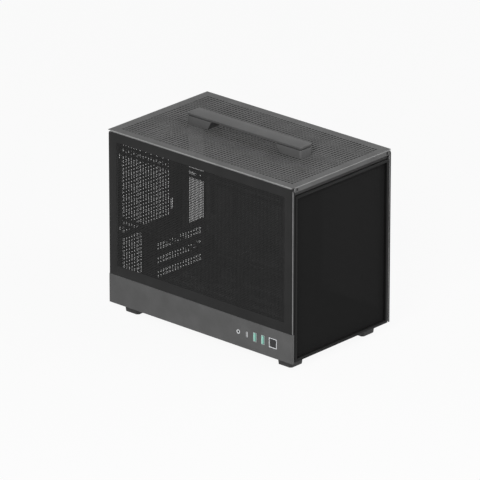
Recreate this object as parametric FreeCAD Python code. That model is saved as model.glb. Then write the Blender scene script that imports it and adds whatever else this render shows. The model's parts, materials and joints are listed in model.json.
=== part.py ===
import FreeCAD, Part
import os

# A small upright computer case for a mini-ITX board, in folded and perforated sheet steel.
# Millimetres. +Z is up, the front faces -Y, and the side with the sockets faces -X.
# The origin is on the floor, under the middle of the case.

V = FreeCAD.Vector

# Overall sizes
case_length = 336.0
case_width = 200.0
case_height = 283.5
foot_height = 14.0
handle_rise = 16.7

# Sheet metal and clearances
sheet = 1.0
panel_sheet = 0.9
panel_fold = 3.3
fold_wall = 1.0
return_depth = 13.0
seat_gap = 0.3
screw_gap = 0.1

# Perforation: the real sheets have far finer holes on the same fields
vent_pitch = 30.0
vent_hole = 22.0

# Machine screws
screw_radius = 1.5
screw_head_radius = 2.9
screw_head_height = 2.2
screw_length = 6.0
thumb_head_radius = 4.2
thumb_head_height = 2.6

# Filters
filter_thickness = 3.0
filter_border = 3.2
filter_cloth = 0.4
filter_rebate = 1.4
filter_tab_length = 8.0
filter_tab_places = (-78.0, 82.0)
front_filter_depth = 4.0
front_filter_border = 4.0
front_filter_margin = 5.0
front_filter_foot_gap = 1.5
front_filter_top_gap = 5.8
prong_width = 3.0
prong_height = 9.0
prong_length = 3.0
prong_low = 68.0
prong_drop = 65.2
prong_inset = 7.7

# Cover and handle
skirt_depth = 16.0
skirt_corner = 5.0
skirt_hole_radius = 2.0
skirt_hole_drop = 10.0
skirt_hole_inset = 6.0
cover_rim = 6.0
rim_slot_width = 2.5
rim_slot_height = 3.5
rim_slot_inset = 5.0
cover_border = 13.0
handle_length = 208.0
handle_width = 25.0
strap_thickness = 3.2
strap_corner = 4.0
block_length = 44.0
block_inset = 0.5
neck_height = 1.0
neck_inset = 2.0
handle_screw_inset = 12.0
finger_slope = 6.0

# Side panels
panel_border = 12.0
right_vent_length = 110.0
stud_radius = 2.5
stud_length = 4.4
stud_tip = 1.2
stud_gap = 0.3
left_stud_low = 80.0
right_stud_low = 45.0
stud_drop = 39.2

# Base and feet
ledge_width = 5.0
foot_plate_length = 33.0
foot_plate_width = 40.0
base_rim_rise = 6.5
base_front_rim = 8.0
base_border = 11.0
base_end_border = 13.0
strip_vent_width = 23.0
strip_vent_inset = 18.0
solid_band = 11.0
foot_top = 27.2
foot_bottom = 24.5
foot_wall = 2.2
foot_pocket = 8.0
foot_boss_radius = 4.2
foot_inset_x = 26.5
foot_inset_y = 27.5
foot_corner = 2.5
foot_screw_seat = 5.5

# Front wall
front_side_border = 12.7
front_end_border = 14.5
ledge_tab_width = 20.0
ledge_tab_depth = 11.0
ledge_tab_place = 60.0
return_slot_length = 18.0
return_slot_width = 4.0
return_slot_drop = 56.7
return_hole_radius = 2.0
return_hole_low = 59.5
return_hole_drop = 30.2

# Rear wall
fan_pitch_margin = 38.55
fan_vent_margin = 45.55
fan_offset = 1.975
fan_drop = 85.7
fan_vent_height = 138.0
low_vent_bottom = 55.5
low_vent_screw_gap = 14.6
fan_slot_length = 18.0
fan_slot_width = 4.4
beam_depth = 12.0
beam_lip = 7.0
beam_notch_width = 10.0
beam_notch_depth = 6.0
beam_notch_x = 76.0
shield_width = 44.45
shield_bottom = 84.0
shield_drop = 19.45
slot_pitch = 20.32
first_slot_z = 68.0
slot_count = 3
slot_window_width = 96.0
slot_window_height = 12.6
slot_window_side = 4.1
slot_cover_height = 14.6
slot_cover_tail = 9.0
slot_screw_inset = 4.5
slot_vents = 6
slot_vent_width = 11.0
slot_vent_height = 8.0

# Board tray, rail and post
tray_inset = 9.6
tray_bottom = 63.0
tray_length = 194.4
rail_drop = 21.5
rail_lip = 3.1
tray_cut_front = 48.0
tray_cut_rear = 58.4
tray_cut_bottom = 32.0
tray_cut_top = 10.0
tray_cut_corner = 4.0
board_pitch_y = 154.94
board_rear_inset = 11.8
board_bottom_inset = 7.5
board_top_inset = 13.72
standoff_height = 6.4
standoff_flats = 5.0
standoff_bore_radius = 1.25
standoff_bore_depth = 5.0
post_width = 15.0

# Power supply bracket, for the small form factor unit
psu_width = 63.5
psu_height = 125.0
psu_hole_x = 51.5
psu_hole_z = 113.0
psu_hole_radius = 1.9
psu_gap = 0.3
psu_opening_width = 40.0
psu_opening_height = 100.0
psu_chamfer = 12.0
psu_margin = 5.0
psu_lip = 6.0
psu_slot_length = 10.0
psu_slot_width = 3.0

# Fan bars
bar_height = 14.0
bar_slot_width = 5.0
bar_slot_start = 7.0
bar_slot_end = 15.0
bar_hole_radius = 1.6
bar_drop = 22.7

# Card support
support_x = 2.0
support_reach = 47.0
support_height = 119.5
support_web = 7.2
support_side = 5.5
support_foot = 22.0
support_foot_half = 11.0
support_gusset = 17.0
support_gusset_height = 24.0
support_gusset_corner = 9.0
support_ear = 19.0
support_ear_height = 16.0
support_hole_radius = 1.9
support_notch_low = 65.0
support_notch_high = 91.0
support_notch_depth = 4.5
support_screw_inset = 5.0

# Socket strip
strip_top = 56.0
strip_shelf = 7.0
panel_strip_gap = 0.6
socket_z = 35.0
button_inset = 35.5
usb_a_steps = (18.0, 32.5)
usb_c_step = 47.0
jack_step = 62.5
socket_gap = 0.15
jack_radius = 3.0
jack_bore_radius = 1.75
jack_body = 10.0
usb_a_width = 5.8
usb_a_height = 13.2
usb_a_wall = 0.4
usb_a_tongue = 1.8
usb_a_depth = 12.0
usb_c_width = 3.3
usb_c_height = 9.0
usb_c_wall = 0.35
usb_c_tongue = 0.7
usb_c_depth = 8.0
bezel_size = 14.0
bezel_wall = 1.4
bezel_edge = 1.0
button_gap = 0.3
button_flange = 1.0
button_length = 4.0
button_travel = 1.2
button_recess = 0.1
board_thickness = 1.6
board_gap = 12.0
board_margin = 14.0
board_height = 24.0
board_boss_radius = 2.5
board_boss_inset = 3.2
switch_size = 6.0

# Places that follow from the sizes
x_panel = case_width / 2
x_frame = x_panel - panel_sheet - seat_gap
x_inner = x_frame - sheet
x_skirt = x_panel - panel_fold - seat_gap
x_skirt_inner = x_skirt - sheet
y_end = case_length / 2
y_front = -y_end + front_filter_depth + seat_gap
y_front_inner = y_front + sheet
y_front_return = y_front + return_depth
y_rear = y_end - thumb_head_height
y_rear_inner = y_rear - sheet
y_rear_return = y_rear - return_depth
y_front_stud = y_front + return_depth / 2
y_rear_stud = y_rear - return_depth / 2
z_base = foot_height
z_ledge = z_base + sheet
z_bottom_filter = z_ledge + seat_gap
z_floor_under = z_bottom_filter + filter_thickness + seat_gap
z_floor = z_floor_under + sheet
z_cover = case_height - handle_rise
z_cover_under = z_cover - sheet
z_panel = z_cover_under - seat_gap
z_top = z_panel - fold_wall - seat_gap
z_beam = z_panel - filter_thickness - seat_gap
z_rail = z_top - rail_drop
x_tray = x_frame - tray_inset
x_tray_outer = x_tray + sheet
z_tray_top = z_rail - sheet
tray_front = y_rear_inner - tray_length
y_post = tray_front - sheet
support_y = tray_front + support_reach
z_handle_block = case_height - strap_thickness - neck_height
left_stud_heights = (left_stud_low, z_top - stud_drop)
right_stud_heights = (right_stud_low, z_top - stud_drop)
prong_heights = (prong_low, z_top - prong_drop)
return_hole_heights = (return_hole_low, z_top - return_hole_drop)
return_slot_height = z_top - return_slot_drop

# The rear fan stands in the room beside the opening for the board's sockets
x_shield = x_tray - shield_width
shield_height = z_beam - shield_drop - shield_bottom
fan_room = x_shield + x_frame
fan_pitch = fan_room - fan_pitch_margin
fan_vent_width = fan_room - fan_vent_margin
fan_centre_x = x_shield - fan_room / 2 - fan_offset
fan_centre_z = z_beam - fan_drop
upper_bar_z = z_top - bar_drop
lower_bar_z = upper_bar_z - fan_pitch
board_pitch_z = z_tray_top - board_top_inset - tray_bottom - board_bottom_inset

# The sockets are spaced from the power button, and that from the front edge
button_y = -y_end + button_inset
usb_a_places = tuple(button_y + step for step in reversed(usb_a_steps))
usb_c_y = button_y + usb_c_step
jack_y = button_y + jack_step
x_strip = -x_panel
x_strip_inner = -x_frame
x_board = x_strip_inner + board_gap
web = vent_pitch - vent_hole
rounding = 1e-6


def point(axis, level, u, v):
    """The point at level along axis, and at u and v along the other two."""
    if axis == "x":
        return V(level, u, v)
    if axis == "y":
        return V(u, level, v)
    return V(u, v, level)


def box(x0, x1, y0, y1, z0, z1):
    return Part.makeBox(x1 - x0, y1 - y0, z1 - z0, V(x0, y0, z0))


def polygon(axis, level, corners):
    points = [point(axis, level, u, v) for u, v in corners]
    return Part.makePolygon(points + points[:1])


def rectangle(axis, level, u0, u1, v0, v1):
    return polygon(axis, level, [(u0, v0), (u1, v0), (u1, v1), (u0, v1)])


def rounded(axis, level, u0, u1, v0, v1, radius):
    """A rectangle with round corners."""
    turns = [(u1, v0, -1, 1), (u1, v1, -1, -1), (u0, v1, 1, -1), (u0, v0, 1, 1)]
    edges = []
    last = None
    first = None
    short = radius * (1 - 0.5**0.5)
    for count, (u, v, du, dv) in enumerate(turns):
        along_u = point(axis, level, u + du * radius, v)
        along_v = point(axis, level, u, v + dv * radius)
        middle = point(axis, level, u + du * short, v + dv * short)
        start, end = (along_u, along_v) if count % 2 == 0 else (along_v, along_u)
        if last is not None and last.distanceToPoint(start) > 1e-6:
            edges.append(Part.LineSegment(last, start).toShape())
        edges.append(Part.Arc(start, middle, end).toShape())
        first = first or start
        last = end
    if last.distanceToPoint(first) > 1e-6:
        edges.append(Part.LineSegment(last, first).toShape())
    return Part.Wire(edges)


def circle(axis, level, u, v, radius):
    return Part.Wire([Part.makeCircle(radius, point(axis, level, u, v), point(axis, 1, 0, 0))])


def octagon(axis, level, u, v, radius):
    """Eight flats round a circle of that radius, for screws and plain holes."""
    short = radius * (2**0.5 - 1)
    corners = [(radius, -short), (radius, short), (short, radius), (-short, radius)]
    corners += [(-a, -b) for a, b in corners]
    return polygon(axis, level, [(u + a, v + b) for a, b in corners])


def screw_hole(axis, level, u, v):
    return octagon(axis, level, u, v, screw_radius + screw_gap)


def long_hole(axis, level, u, v, length, width, along="u"):
    """A slot whose ends have their corners cut."""
    half_u, half_v = (length / 2, width / 2) if along == "u" else (width / 2, length / 2)
    cut = width * (1 - 0.5**0.5)
    corners = [
        (half_u, cut - half_v), (half_u, half_v - cut),
        (half_u - cut, half_v), (cut - half_u, half_v),
    ]
    corners += [(-a, -b) for a, b in corners]
    return polygon(axis, level, [(u + a, v + b) for a, b in corners])


def slot(axis, level, u, v, length, width, along="u"):
    """A hole with round ends, of that whole length, along u or v."""
    half_u, half_v = (length / 2, width / 2) if along == "u" else (width / 2, length / 2)
    bounds = (u - half_u, u + half_u, v - half_v, v + half_v)
    return rounded(axis, level, *bounds, width / 2 - 1e-4)


def plate(axis, low, high, outline, holes=()):
    """A flat sheet between two levels. The outline and the holes are drawn at the low level."""
    face = Part.makeFace([outline] + list(holes), "Part::FaceMakerBullseye")
    return face.extrude(point(axis, high - low, 0, 0))


def join(*solids):
    """Folds and bosses that are one piece with their sheet."""
    return solids[0].fuse(list(solids[1:])).removeSplitter()


def cylinder(axis, start, end, u, v, radius):
    low = point(axis, min(start, end), u, v)
    return Part.makeCylinder(radius, abs(end - start), low, point(axis, 1, 0, 0))


def post(axis, start, end, u, v, radius):
    """An eight-sided pin between two levels."""
    low = min(start, end)
    return plate(axis, low, max(start, end), octagon(axis, low, u, v, radius))


def vents(axis, level, u0, u1, v0, v1, clear=()):
    """Square holes on a regular grid in the middle of a field, kept off the places in clear."""
    columns = int((u1 - u0 + web) / vent_pitch + rounding)
    rows = int((v1 - v0 + web) / vent_pitch + rounding)
    start_u = (u0 + u1 - (columns - 1) * vent_pitch) / 2
    start_v = (v0 + v1 - (rows - 1) * vent_pitch) / 2
    half = vent_hole / 2
    holes = []
    for column in range(columns):
        for row in range(rows):
            u = start_u + column * vent_pitch
            v = start_v + row * vent_pitch
            if not any(
                a - half < u < b + half and c - half < v < d + half for a, b, c, d in clear
            ):
                holes.append(rectangle(axis, level, u - half, u + half, v - half, v + half))
    return holes


def screw(axis, seat, way, u, v, length):
    """A pan head on the seat, and a shank that goes the given way along the axis."""
    head = post(axis, seat, seat - way * screw_head_height, u, v, screw_head_radius)
    return join(head, post(axis, seat, seat + way * length, u, v, screw_radius))


def save(name, *solids):
    shape = solids[0] if len(solids) == 1 else Part.makeCompound(list(solids))
    if not shape.isValid():
        raise ValueError(name + " is not a valid solid")
    shape.exportStep("parts/" + name + ".step")


def feet_places():
    for side, x in (("left", -x_panel + foot_inset_x), ("right", x_panel - foot_inset_x)):
        for end, y in (("front", -y_end + foot_inset_y), ("rear", y_end - foot_inset_y)):
            yield end + "_" + side, x, y


def base_field():
    """The main vent field of the floor, and the narrow one beside the solid band."""
    y0 = y_front_inner + base_end_border
    y1 = y_rear_inner - base_end_border
    strip = (x_inner - strip_vent_inset - strip_vent_width, x_inner - strip_vent_inset)
    main = (-x_inner + base_border, strip[0] - solid_band)
    return main, strip, (y0, y1)


def support_foot_place():
    y0, y1 = support_y - support_foot_half, support_y + support_foot_half
    return support_x, support_x + support_foot, y0, y1


def support_screw_places():
    x0, x1, y0, y1 = support_foot_place()
    return [(x1 - support_screw_inset, y) for y in (y0 + support_screw_inset, y1 - support_screw_inset)]


def base_pan():
    """The floor, with rims down to the ledges that the bottom filter slides on."""
    main, strip, (y0, y1) = base_field()
    low = z_floor_under
    holes = vents("z", low, *main, y0, y1, [support_foot_place()])
    holes += vents("z", low, *strip, y0, y1)
    holes += [screw_hole("z", low, x, y) for x, y in support_screw_places()]
    outline = rectangle("z", low, -x_inner, x_inner, y_front_inner, y_rear_inner)
    pieces = [plate("z", low, z_floor, outline, holes)]
    for side in (-1, 1):
        outer, inner = side * x_frame, side * x_inner
        x0, x1 = min(outer, inner), max(outer, inner)
        pieces.append(box(x0, x1, y_front_return, y_rear_return, z_base, z_floor + base_rim_rise))
        ledge = sorted((side * x_inner, side * (x_inner - ledge_width)))
        pieces.append(box(*ledge, y_front_return, y_rear_return, z_base, z_ledge))
    for name, x, y in feet_places():
        inward = x_inner - foot_plate_width
        x0, x1 = (-x_inner, -inward) if x < 0 else (inward, x_inner)
        half = foot_plate_length / 2
        hole = screw_hole("z", z_base, x, y)
        outline = rectangle("z", z_base, x0, x1, y - half, y + half)
        pieces.append(plate("z", z_base, z_ledge, outline, [hole]))
    front_rim = (y_front_inner, y_front_inner + sheet)
    pieces.append(box(-x_inner, x_inner, *front_rim, z_floor, z_floor + base_front_rim))
    return join(*pieces)


def return_holes(level, y, studs, side):
    """The holes in a folded edge: for the panel's studs, and on the socket side for the bars."""
    holes = [octagon("x", level, y, z, stud_radius + stud_gap) for z in studs]
    holes.append(octagon("x", level, y, z_cover - skirt_hole_drop, skirt_hole_radius))
    if side < 0:
        for z in (upper_bar_z, lower_bar_z):
            holes.append(screw_hole("x", level, y, z))
    return holes


def front_wall():
    half = x_frame - front_side_border
    z0, z1 = z_base + front_end_border, z_top - front_end_border
    low = y_front
    holes = vents("y", low, -half, half, z0, z1)
    for x in (-x_frame + prong_inset, x_frame - prong_inset):
        for z in prong_heights:
            w, h = prong_width / 2 + seat_gap, prong_height / 2 + seat_gap
            holes.append(rectangle("y", low, x - w, x + w, z - h, z + h))
    outline = rectangle("y", low, -x_frame, x_frame, z_base, z_top)
    pieces = [plate("y", low, y_front_inner, outline, holes)]
    for side, studs in ((-1, left_stud_heights), (1, right_stud_heights)):
        level = -x_frame if side < 0 else x_inner
        holes = return_holes(level, y_front_stud, studs, side)
        if side < 0:
            holes.append(
                long_hole(
                    "x", level, y_front_stud, return_slot_height,
                    return_slot_length, return_slot_width, "v",
                )
            )
            for z in return_hole_heights:
                holes.append(octagon("x", level, y_front_stud, z, return_hole_radius))
        outline = rectangle("x", level, y_front_inner, y_front_return, z_base, z_top)
        pieces.append(plate("x", level, level + sheet, outline, holes))
    for x in (-ledge_tab_place, ledge_tab_place):
        half = ledge_tab_width / 2
        depth = (y_front_inner, y_front_inner + ledge_tab_depth)
        pieces.append(box(x - half, x + half, *depth, z_beam - sheet, z_beam))
    return join(*pieces)


def slot_window_x():
    right = x_tray - slot_window_side
    return right - slot_window_width, right


def slot_heights():
    return [first_slot_z - count * slot_pitch for count in range(slot_count)]


def slot_screw_x():
    return slot_window_x()[0] - slot_screw_inset


def rear_wall():
    low = y_rear_inner
    top = fan_centre_z + fan_vent_height / 2
    bottom = fan_centre_z - fan_vent_height / 2
    left = fan_centre_x - fan_vent_width / 2
    holes = vents("y", low, left, left + fan_vent_width, bottom, top)
    low_right = slot_screw_x() - low_vent_screw_gap
    holes += vents("y", low, left, low_right, low_vent_bottom, bottom)
    for x in (fan_centre_x - fan_pitch / 2, fan_centre_x + fan_pitch / 2):
        for z in (fan_centre_z - fan_pitch / 2, fan_centre_z + fan_pitch / 2):
            holes.append(slot("y", low, x, z, fan_slot_length, fan_slot_width, "v"))
    shield = (shield_bottom, shield_bottom + shield_height)
    holes.append(rectangle("y", low, x_shield, x_tray, *shield))
    for z in slot_heights():
        half = slot_window_height / 2
        holes.append(rectangle("y", low, *slot_window_x(), z - half, z + half))
        holes.append(screw_hole("y", low, slot_screw_x(), z))
    outline = rectangle("y", low, -x_frame, x_frame, z_floor_under + seat_gap, z_beam)
    pieces = [plate("y", low, y_rear, outline, holes)]
    for side, studs in ((-1, left_stud_heights), (1, right_stud_heights)):
        level = -x_frame if side < 0 else x_inner
        holes = return_holes(level, y_rear_stud, studs, side)
        z0 = z_floor_under + seat_gap
        outline = rectangle("x", level, y_rear_return, y_rear_inner, z0, z_beam)
        pieces.append(plate("x", level, level + sheet, outline, holes))
    half = x_skirt_inner - 2 * seat_gap
    y0 = y_rear_inner - beam_depth
    pieces.append(box(-half, half, y0, y_rear_inner, z_beam - sheet, z_beam))
    pieces.append(box(-half, half, y0, y0 + sheet, z_beam - beam_lip, z_beam - sheet))
    flange = (x_shield - sheet, x_shield, y_rear_return, y_rear_inner)
    pieces.append(box(*flange, *shield))
    wall = join(*pieces)
    notch = beam_notch_width / 2
    cut = box(
        beam_notch_x - notch, beam_notch_x + notch,
        y0 - sheet, y0 + beam_notch_depth, z_beam - beam_lip - sheet, z_top,
    )
    return wall.cut(cut)


def slot_cover(z):
    x0, x1 = slot_window_x()
    half = slot_cover_height / 2
    low = y_rear_inner - sheet
    step = slot_window_width / slot_vents
    holes = []
    for count in range(slot_vents):
        x = x0 + step * (count + 0.5)
        w, h = slot_vent_width / 2, slot_vent_height / 2
        holes.append(rectangle("y", low, x - w, x + w, z - h, z + h))
    holes.append(screw_hole("y", low, slot_screw_x(), z))
    outline = rectangle("y", low, x0 - slot_cover_tail, x_tray - seat_gap, z - half, z + half)
    return plate("y", low, y_rear_inner, outline, holes)


def thumb_screws():
    screws = []
    for z in slot_heights():
        x = slot_screw_x()
        head = post("y", y_rear, y_end, x, z, thumb_head_radius)
        shank = post("y", y_rear - screw_length, y_rear, x, z, screw_radius)
        screws.append(join(head, shank))
    return screws


def standoff_places():
    y1 = y_rear_inner - board_rear_inset
    z0 = tray_bottom + board_bottom_inset
    return [(y, z) for y in (y1 - board_pitch_y, y1) for z in (z0, z0 + board_pitch_z)]


def board_tray():
    """The sheet that carries the main board, with folds to the rear wall and along the bottom."""
    level = x_tray
    y0, y1 = tray_front + tray_cut_front, y_rear_inner - tray_cut_rear
    z0, z1 = tray_bottom + tray_cut_bottom, z_tray_top - tray_cut_top
    holes = [rounded("x", level, y0, y1, z0, z1, tray_cut_corner)]
    for y, z in standoff_places():
        holes.append(screw_hole("x", level, y, z))
    outline = rectangle("x", level, tray_front, y_rear_inner, tray_bottom, z_tray_top)
    pieces = [plate("x", level, x_tray_outer, outline, holes)]
    depth = (x_tray_outer, x_inner)
    pieces.append(box(*depth, y_rear_inner - sheet, y_rear_inner, tray_bottom, z_tray_top))
    pieces.append(box(*depth, tray_front, y_rear_inner - sheet, tray_bottom, tray_bottom + sheet))
    return join(*pieces)


def hexagon(axis, level, u, v, flats):
    half = flats / 2
    side = flats / 3**0.5
    corners = [(side, 0), (side / 2, half), (-side / 2, half)]
    corners += [(-a, -b) for a, b in corners]
    return polygon(axis, level, [(u + a, v + b) for a, b in corners])


def standoffs():
    made = []
    for y, z in standoff_places():
        low = x_tray - standoff_height
        pillar = plate("x", low, x_tray, hexagon("x", low, y, z, standoff_flats))
        stem = post("x", x_tray, x_tray_outer, y, z, screw_radius)
        bore = cylinder("x", low, low + standoff_bore_depth, y, z, standoff_bore_radius)
        made.append(join(pillar, stem).cut(bore))
    return made


def side_rail():
    """The angle along the top of the panel side, over the tray."""
    y0, y1 = y_front_return, y_rear_return
    lip = box(x_inner, x_frame, y0, y1, z_rail, z_rail + rail_lip)
    flange = box(x_tray, x_frame, y0, y1, z_rail - sheet, z_rail)
    return join(lip, flange)


def front_post():
    """The angle at the tray's front edge, from the base rim to the rail."""
    z0, z1 = z_floor + base_rim_rise, z_tray_top
    web_piece = box(x_tray, x_frame, y_post, tray_front, z0, z1)
    flange = box(x_inner, x_frame, y_post - post_width, y_post, z0, z1)
    return join(web_piece, flange)


def psu_centre():
    top = z_beam - seat_gap
    return x_tray - psu_gap - psu_width / 2, top - psu_height / 2


def psu_bracket():
    """The plate that the power supply screws to. Its corner is cut back under the rail."""
    x, z = psu_centre()
    low, high = y_post - sheet, y_post
    left, top = x - psu_width / 2, z + psu_height / 2
    bottom = z - psu_height / 2 - psu_margin
    corners = [
        (left, bottom + psu_chamfer),
        (left + psu_chamfer, bottom),
        (x_inner - seat_gap, bottom),
        (x_inner - seat_gap, z_tray_top - seat_gap),
        (x_tray - seat_gap, z_tray_top - seat_gap),
        (x_tray - seat_gap, top),
        (left, top),
    ]
    half_w, half_h = psu_opening_width / 2, psu_opening_height / 2
    holes = [rectangle("y", low, x - half_w, x + half_w, z - half_h, z + half_h)]
    for dx in (-psu_hole_x / 2, psu_hole_x / 2):
        for dz in (-psu_hole_z / 2, psu_hole_z / 2):
            holes.append(circle("y", low, x + dx, z + dz, psu_hole_radius))
    slot_z = (z + half_h + top) / 2
    x_slot = x + psu_slot_length / 2
    holes.append(long_hole("y", low, x_slot, slot_z, psu_slot_length, psu_slot_width))
    face = plate("y", low, high, polygon("y", low, corners), holes)
    lip = box(left, left + sheet, high, high + psu_lip, z - half_h, z + half_h)
    return join(face, lip)


def fan_bar(z):
    """A long slotted bar across the open side, on the inside of the folded edges."""
    level = -x_inner
    half = bar_height / 2
    y0, y1 = y_front_inner + seat_gap, y_rear_inner - seat_gap
    radius = y_front_stud - y0
    outline = rounded("x", level, y0, y1, z - half, z + half, radius)
    middle = (y0 + y1) / 2
    slot_high = (y1 - y0) / 2 - bar_slot_end
    holes = []
    for way in (-1, 1):
        centre = middle + way * (bar_slot_start + slot_high) / 2
        holes.append(slot("x", level, centre, z, slot_high - bar_slot_start, bar_slot_width))
    holes.append(octagon("x", level, middle, z, bar_hole_radius))
    holes += [screw_hole("x", level, y, z) for y in (y_front_stud, y_rear_stud)]
    return plate("x", level, level + sheet, outline, holes)


def bar_screws():
    """Screws from inside, so that nothing stands out under the side panel."""
    seat = -x_inner + sheet
    return [
        screw("x", seat, -1, y, z, 2 * sheet)
        for z in (upper_bar_z, lower_bar_z)
        for y in (y_front_stud, y_rear_stud)
    ]


def card_support():
    """An upright that steadies the free end of a graphics card."""
    x0, x1, y0, y1 = support_foot_place()
    top = z_floor + support_height
    face = box(x0, x0 + sheet, support_y, support_y + support_web, z_floor, top)
    side = box(x0 + sheet, x0 + support_side, support_y, support_y + sheet, z_floor, top)
    cut_x = x0 + support_side - support_notch_depth
    cut = box(
        cut_x, x1, support_y - sheet, support_y + 2 * sheet,
        z_floor + support_notch_low, z_floor + support_notch_high,
    )
    holes = [screw_hole("z", z_floor, x, y) for x, y in support_screw_places()]
    foot = plate("z", z_floor, z_floor + sheet, rectangle("z", z_floor, x0, x1, y0, y1), holes)
    ear_hole = octagon(
        "y", support_y, x0 + support_ear - support_screw_inset,
        top - support_ear_height / 2, support_hole_radius,
    )
    corners = [
        (x0, top - support_ear_height),
        (x0 + support_side, top - support_ear_height),
        (x0 + support_ear, top - support_ear_height / 2),
        (x0 + support_ear, top),
        (x0, top),
    ]
    shape = polygon("y", support_y, corners)
    ear = plate("y", support_y, support_y + sheet, shape, [ear_hole])
    reach, rise = x0 + support_gusset, z_floor + support_gusset_height
    corners = [
        (x0, z_floor),
        (reach, z_floor),
        (reach, rise - 2 * support_gusset_corner),
        (reach - support_gusset_corner / 3, rise - support_gusset_corner),
        (x0 + support_side, rise),
        (x0, rise),
    ]
    gusset = plate("y", support_y, support_y + sheet, polygon("y", support_y, corners))
    return join(face, side.cut(cut), foot, ear, gusset)


def support_screws():
    seat = z_floor + sheet
    depth = seat - z_floor_under
    return [screw("z", seat, -1, x, y, depth) for x, y in support_screw_places()]


def foot(x, y):
    """A tapered foot, hollow from above, with a boss for its screw."""
    def ring(size, z):
        h, c = size / 2, foot_corner
        corners = [
            (h - c, -h), (h, c - h), (h, h - c), (h - c, h),
            (c - h, h), (-h, h - c), (-h, c - h), (c - h, -h),
        ]
        return [V(x + a, y + b, z) for a, b in corners]

    low, high = ring(foot_bottom, 0), ring(foot_top, foot_height)
    outlines = [low, high]
    for i in range(len(low)):
        outlines.append([low[i - 1], low[i], high[i], high[i - 1]])
    faces = [Part.Face(Part.makePolygon(corners + corners[:1])) for corners in outlines]
    body = Part.makeSolid(Part.makeShell(faces))
    half = foot_top / 2 - foot_wall
    floor = foot_height - foot_pocket
    pocket = box(x - half, x + half, y - half, y + half, floor, foot_height)
    boss = post("z", floor, foot_height, x, y, foot_boss_radius)
    body = body.cut(pocket.cut(boss))
    bore = post("z", foot_screw_seat, foot_height, x, y, screw_radius + screw_gap)
    seat = post("z", 0, foot_screw_seat, x, y, screw_head_radius + seat_gap)
    return body.cut(join(bore, seat)).removeSplitter()


def foot_screws():
    length = z_ledge - foot_screw_seat
    return [screw("z", foot_screw_seat, 1, x, y, length) for name, x, y in feet_places()]


def strip_sockets(level):
    """The holes of the socket strip, a clearance larger than what stands in them."""
    holes = [octagon("x", level, jack_y, socket_z, jack_radius + socket_gap)]
    w, h = usb_c_width + 2 * socket_gap, usb_c_height + 2 * socket_gap
    holes.append(long_hole("x", level, usb_c_y, socket_z, h, w, "v"))
    for y in usb_a_places:
        w, h = usb_a_width / 2 + socket_gap, usb_a_height / 2 + socket_gap
        holes.append(rectangle("x", level, y - w, y + w, socket_z - h, socket_z + h))
    half = bezel_size / 2 + socket_gap
    y, z = button_y, socket_z
    holes.append(rectangle("x", level, y - half, y + half, z - half, z + half))
    return holes


def board_ends():
    return button_y - board_margin, jack_y + board_margin


def io_strip():
    """The strip below the socket side's panel, folded in at both ends like the panel."""
    outline = rectangle("x", x_strip, -y_end, y_end, z_base, strip_top)
    face = plate("x", x_strip, x_strip_inner, outline, strip_sockets(x_strip))
    fold = (x_strip_inner, x_strip + panel_fold)
    between = (y_front_return, y_rear_return)
    shelf = (x_strip_inner, x_strip_inner + strip_shelf)
    pieces = [
        face,
        box(*fold, -y_end, -y_end + fold_wall, z_base, strip_top),
        box(*fold, y_end - fold_wall, y_end, z_base, strip_top),
        box(*shelf, *between, strip_top - sheet, strip_top),
    ]
    y0, y1 = board_ends()
    for y in (y0 + board_boss_inset, y1 - board_boss_inset):
        z = socket_z + board_height / 2 - board_boss_inset
        pieces.append(post("x", x_strip_inner, x_board, y, z, board_boss_radius))
    return join(*pieces)


def io_board():
    y0, y1 = board_ends()
    half = board_height / 2
    z0, z1 = max(socket_z - half, z_floor + base_rim_rise), socket_z + half
    return box(x_board, x_board + board_thickness, y0, y1, z0, z1)


def audio_jack():
    half = jack_body / 2
    body = box(x_strip_inner, x_board, jack_y - half, jack_y + half, socket_z - half, socket_z + half)
    ring = post("x", x_strip + socket_gap, x_strip_inner, jack_y, socket_z, jack_radius)
    bore = cylinder("x", x_strip, x_board - sheet, jack_y, socket_z, jack_bore_radius)
    return join(body, ring).cut(bore)


def usb_a_shell(y):
    z = socket_z
    w, h, t = usb_a_width / 2, usb_a_height / 2, usb_a_wall
    outer = box(x_strip + socket_gap, x_board, y - w, y + w, z - h, z + h)
    inner = box(x_strip, x_board - sheet, y - w + t, y + w - t, z - h + t, z + h - t)
    return outer.cut(inner)


def usb_a_tongue_piece(y):
    """The contact tongue, against one side of the shell's inside."""
    z = socket_z
    h = usb_a_height / 2 - usb_a_wall - seat_gap
    y1 = y + usb_a_width / 2 - usb_a_wall
    return box(x_strip + sheet / 2, x_board - sheet, y1 - usb_a_tongue, y1, z - h, z + h)


def usb_c_shell():
    y, z = usb_c_y, socket_z
    front = x_strip + socket_gap
    outline = long_hole("x", front, y, z, usb_c_height, usb_c_width, "v")
    inner_size = (usb_c_height - 2 * usb_c_wall, usb_c_width - 2 * usb_c_wall)
    body = plate("x", front, x_board, outline)
    inside = long_hole("x", x_strip, y, z, *inner_size, "v")
    return body.cut(plate("x", x_strip, x_board - sheet, inside))


def usb_c_tongue_piece():
    y, z = usb_c_y, socket_z
    w = usb_c_tongue / 2
    h = usb_c_height / 2 - usb_c_width / 2
    return box(x_strip + sheet / 2, x_board - sheet, y - w, y + w, z - h, z + h)


def square_ring(x0, x1, outer, inner):
    y, z = button_y, socket_z
    a, b = outer / 2, inner / 2
    hole = rectangle("x", x0, y - b, y + b, z - b, z + b)
    return plate("x", x0, x1, rectangle("x", x0, y - a, y + a, z - a, z + a), [hole])


def button_opening():
    return bezel_size - 2 * bezel_wall


def button_bezel():
    """The light frame round the power button, with an edge behind the strip."""
    inner = button_opening()
    face = square_ring(x_strip, x_strip_inner, bezel_size, inner)
    edge = square_ring(x_strip_inner, x_strip_inner + sheet, bezel_size + 2 * bezel_edge, inner)
    return join(face, edge)


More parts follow.
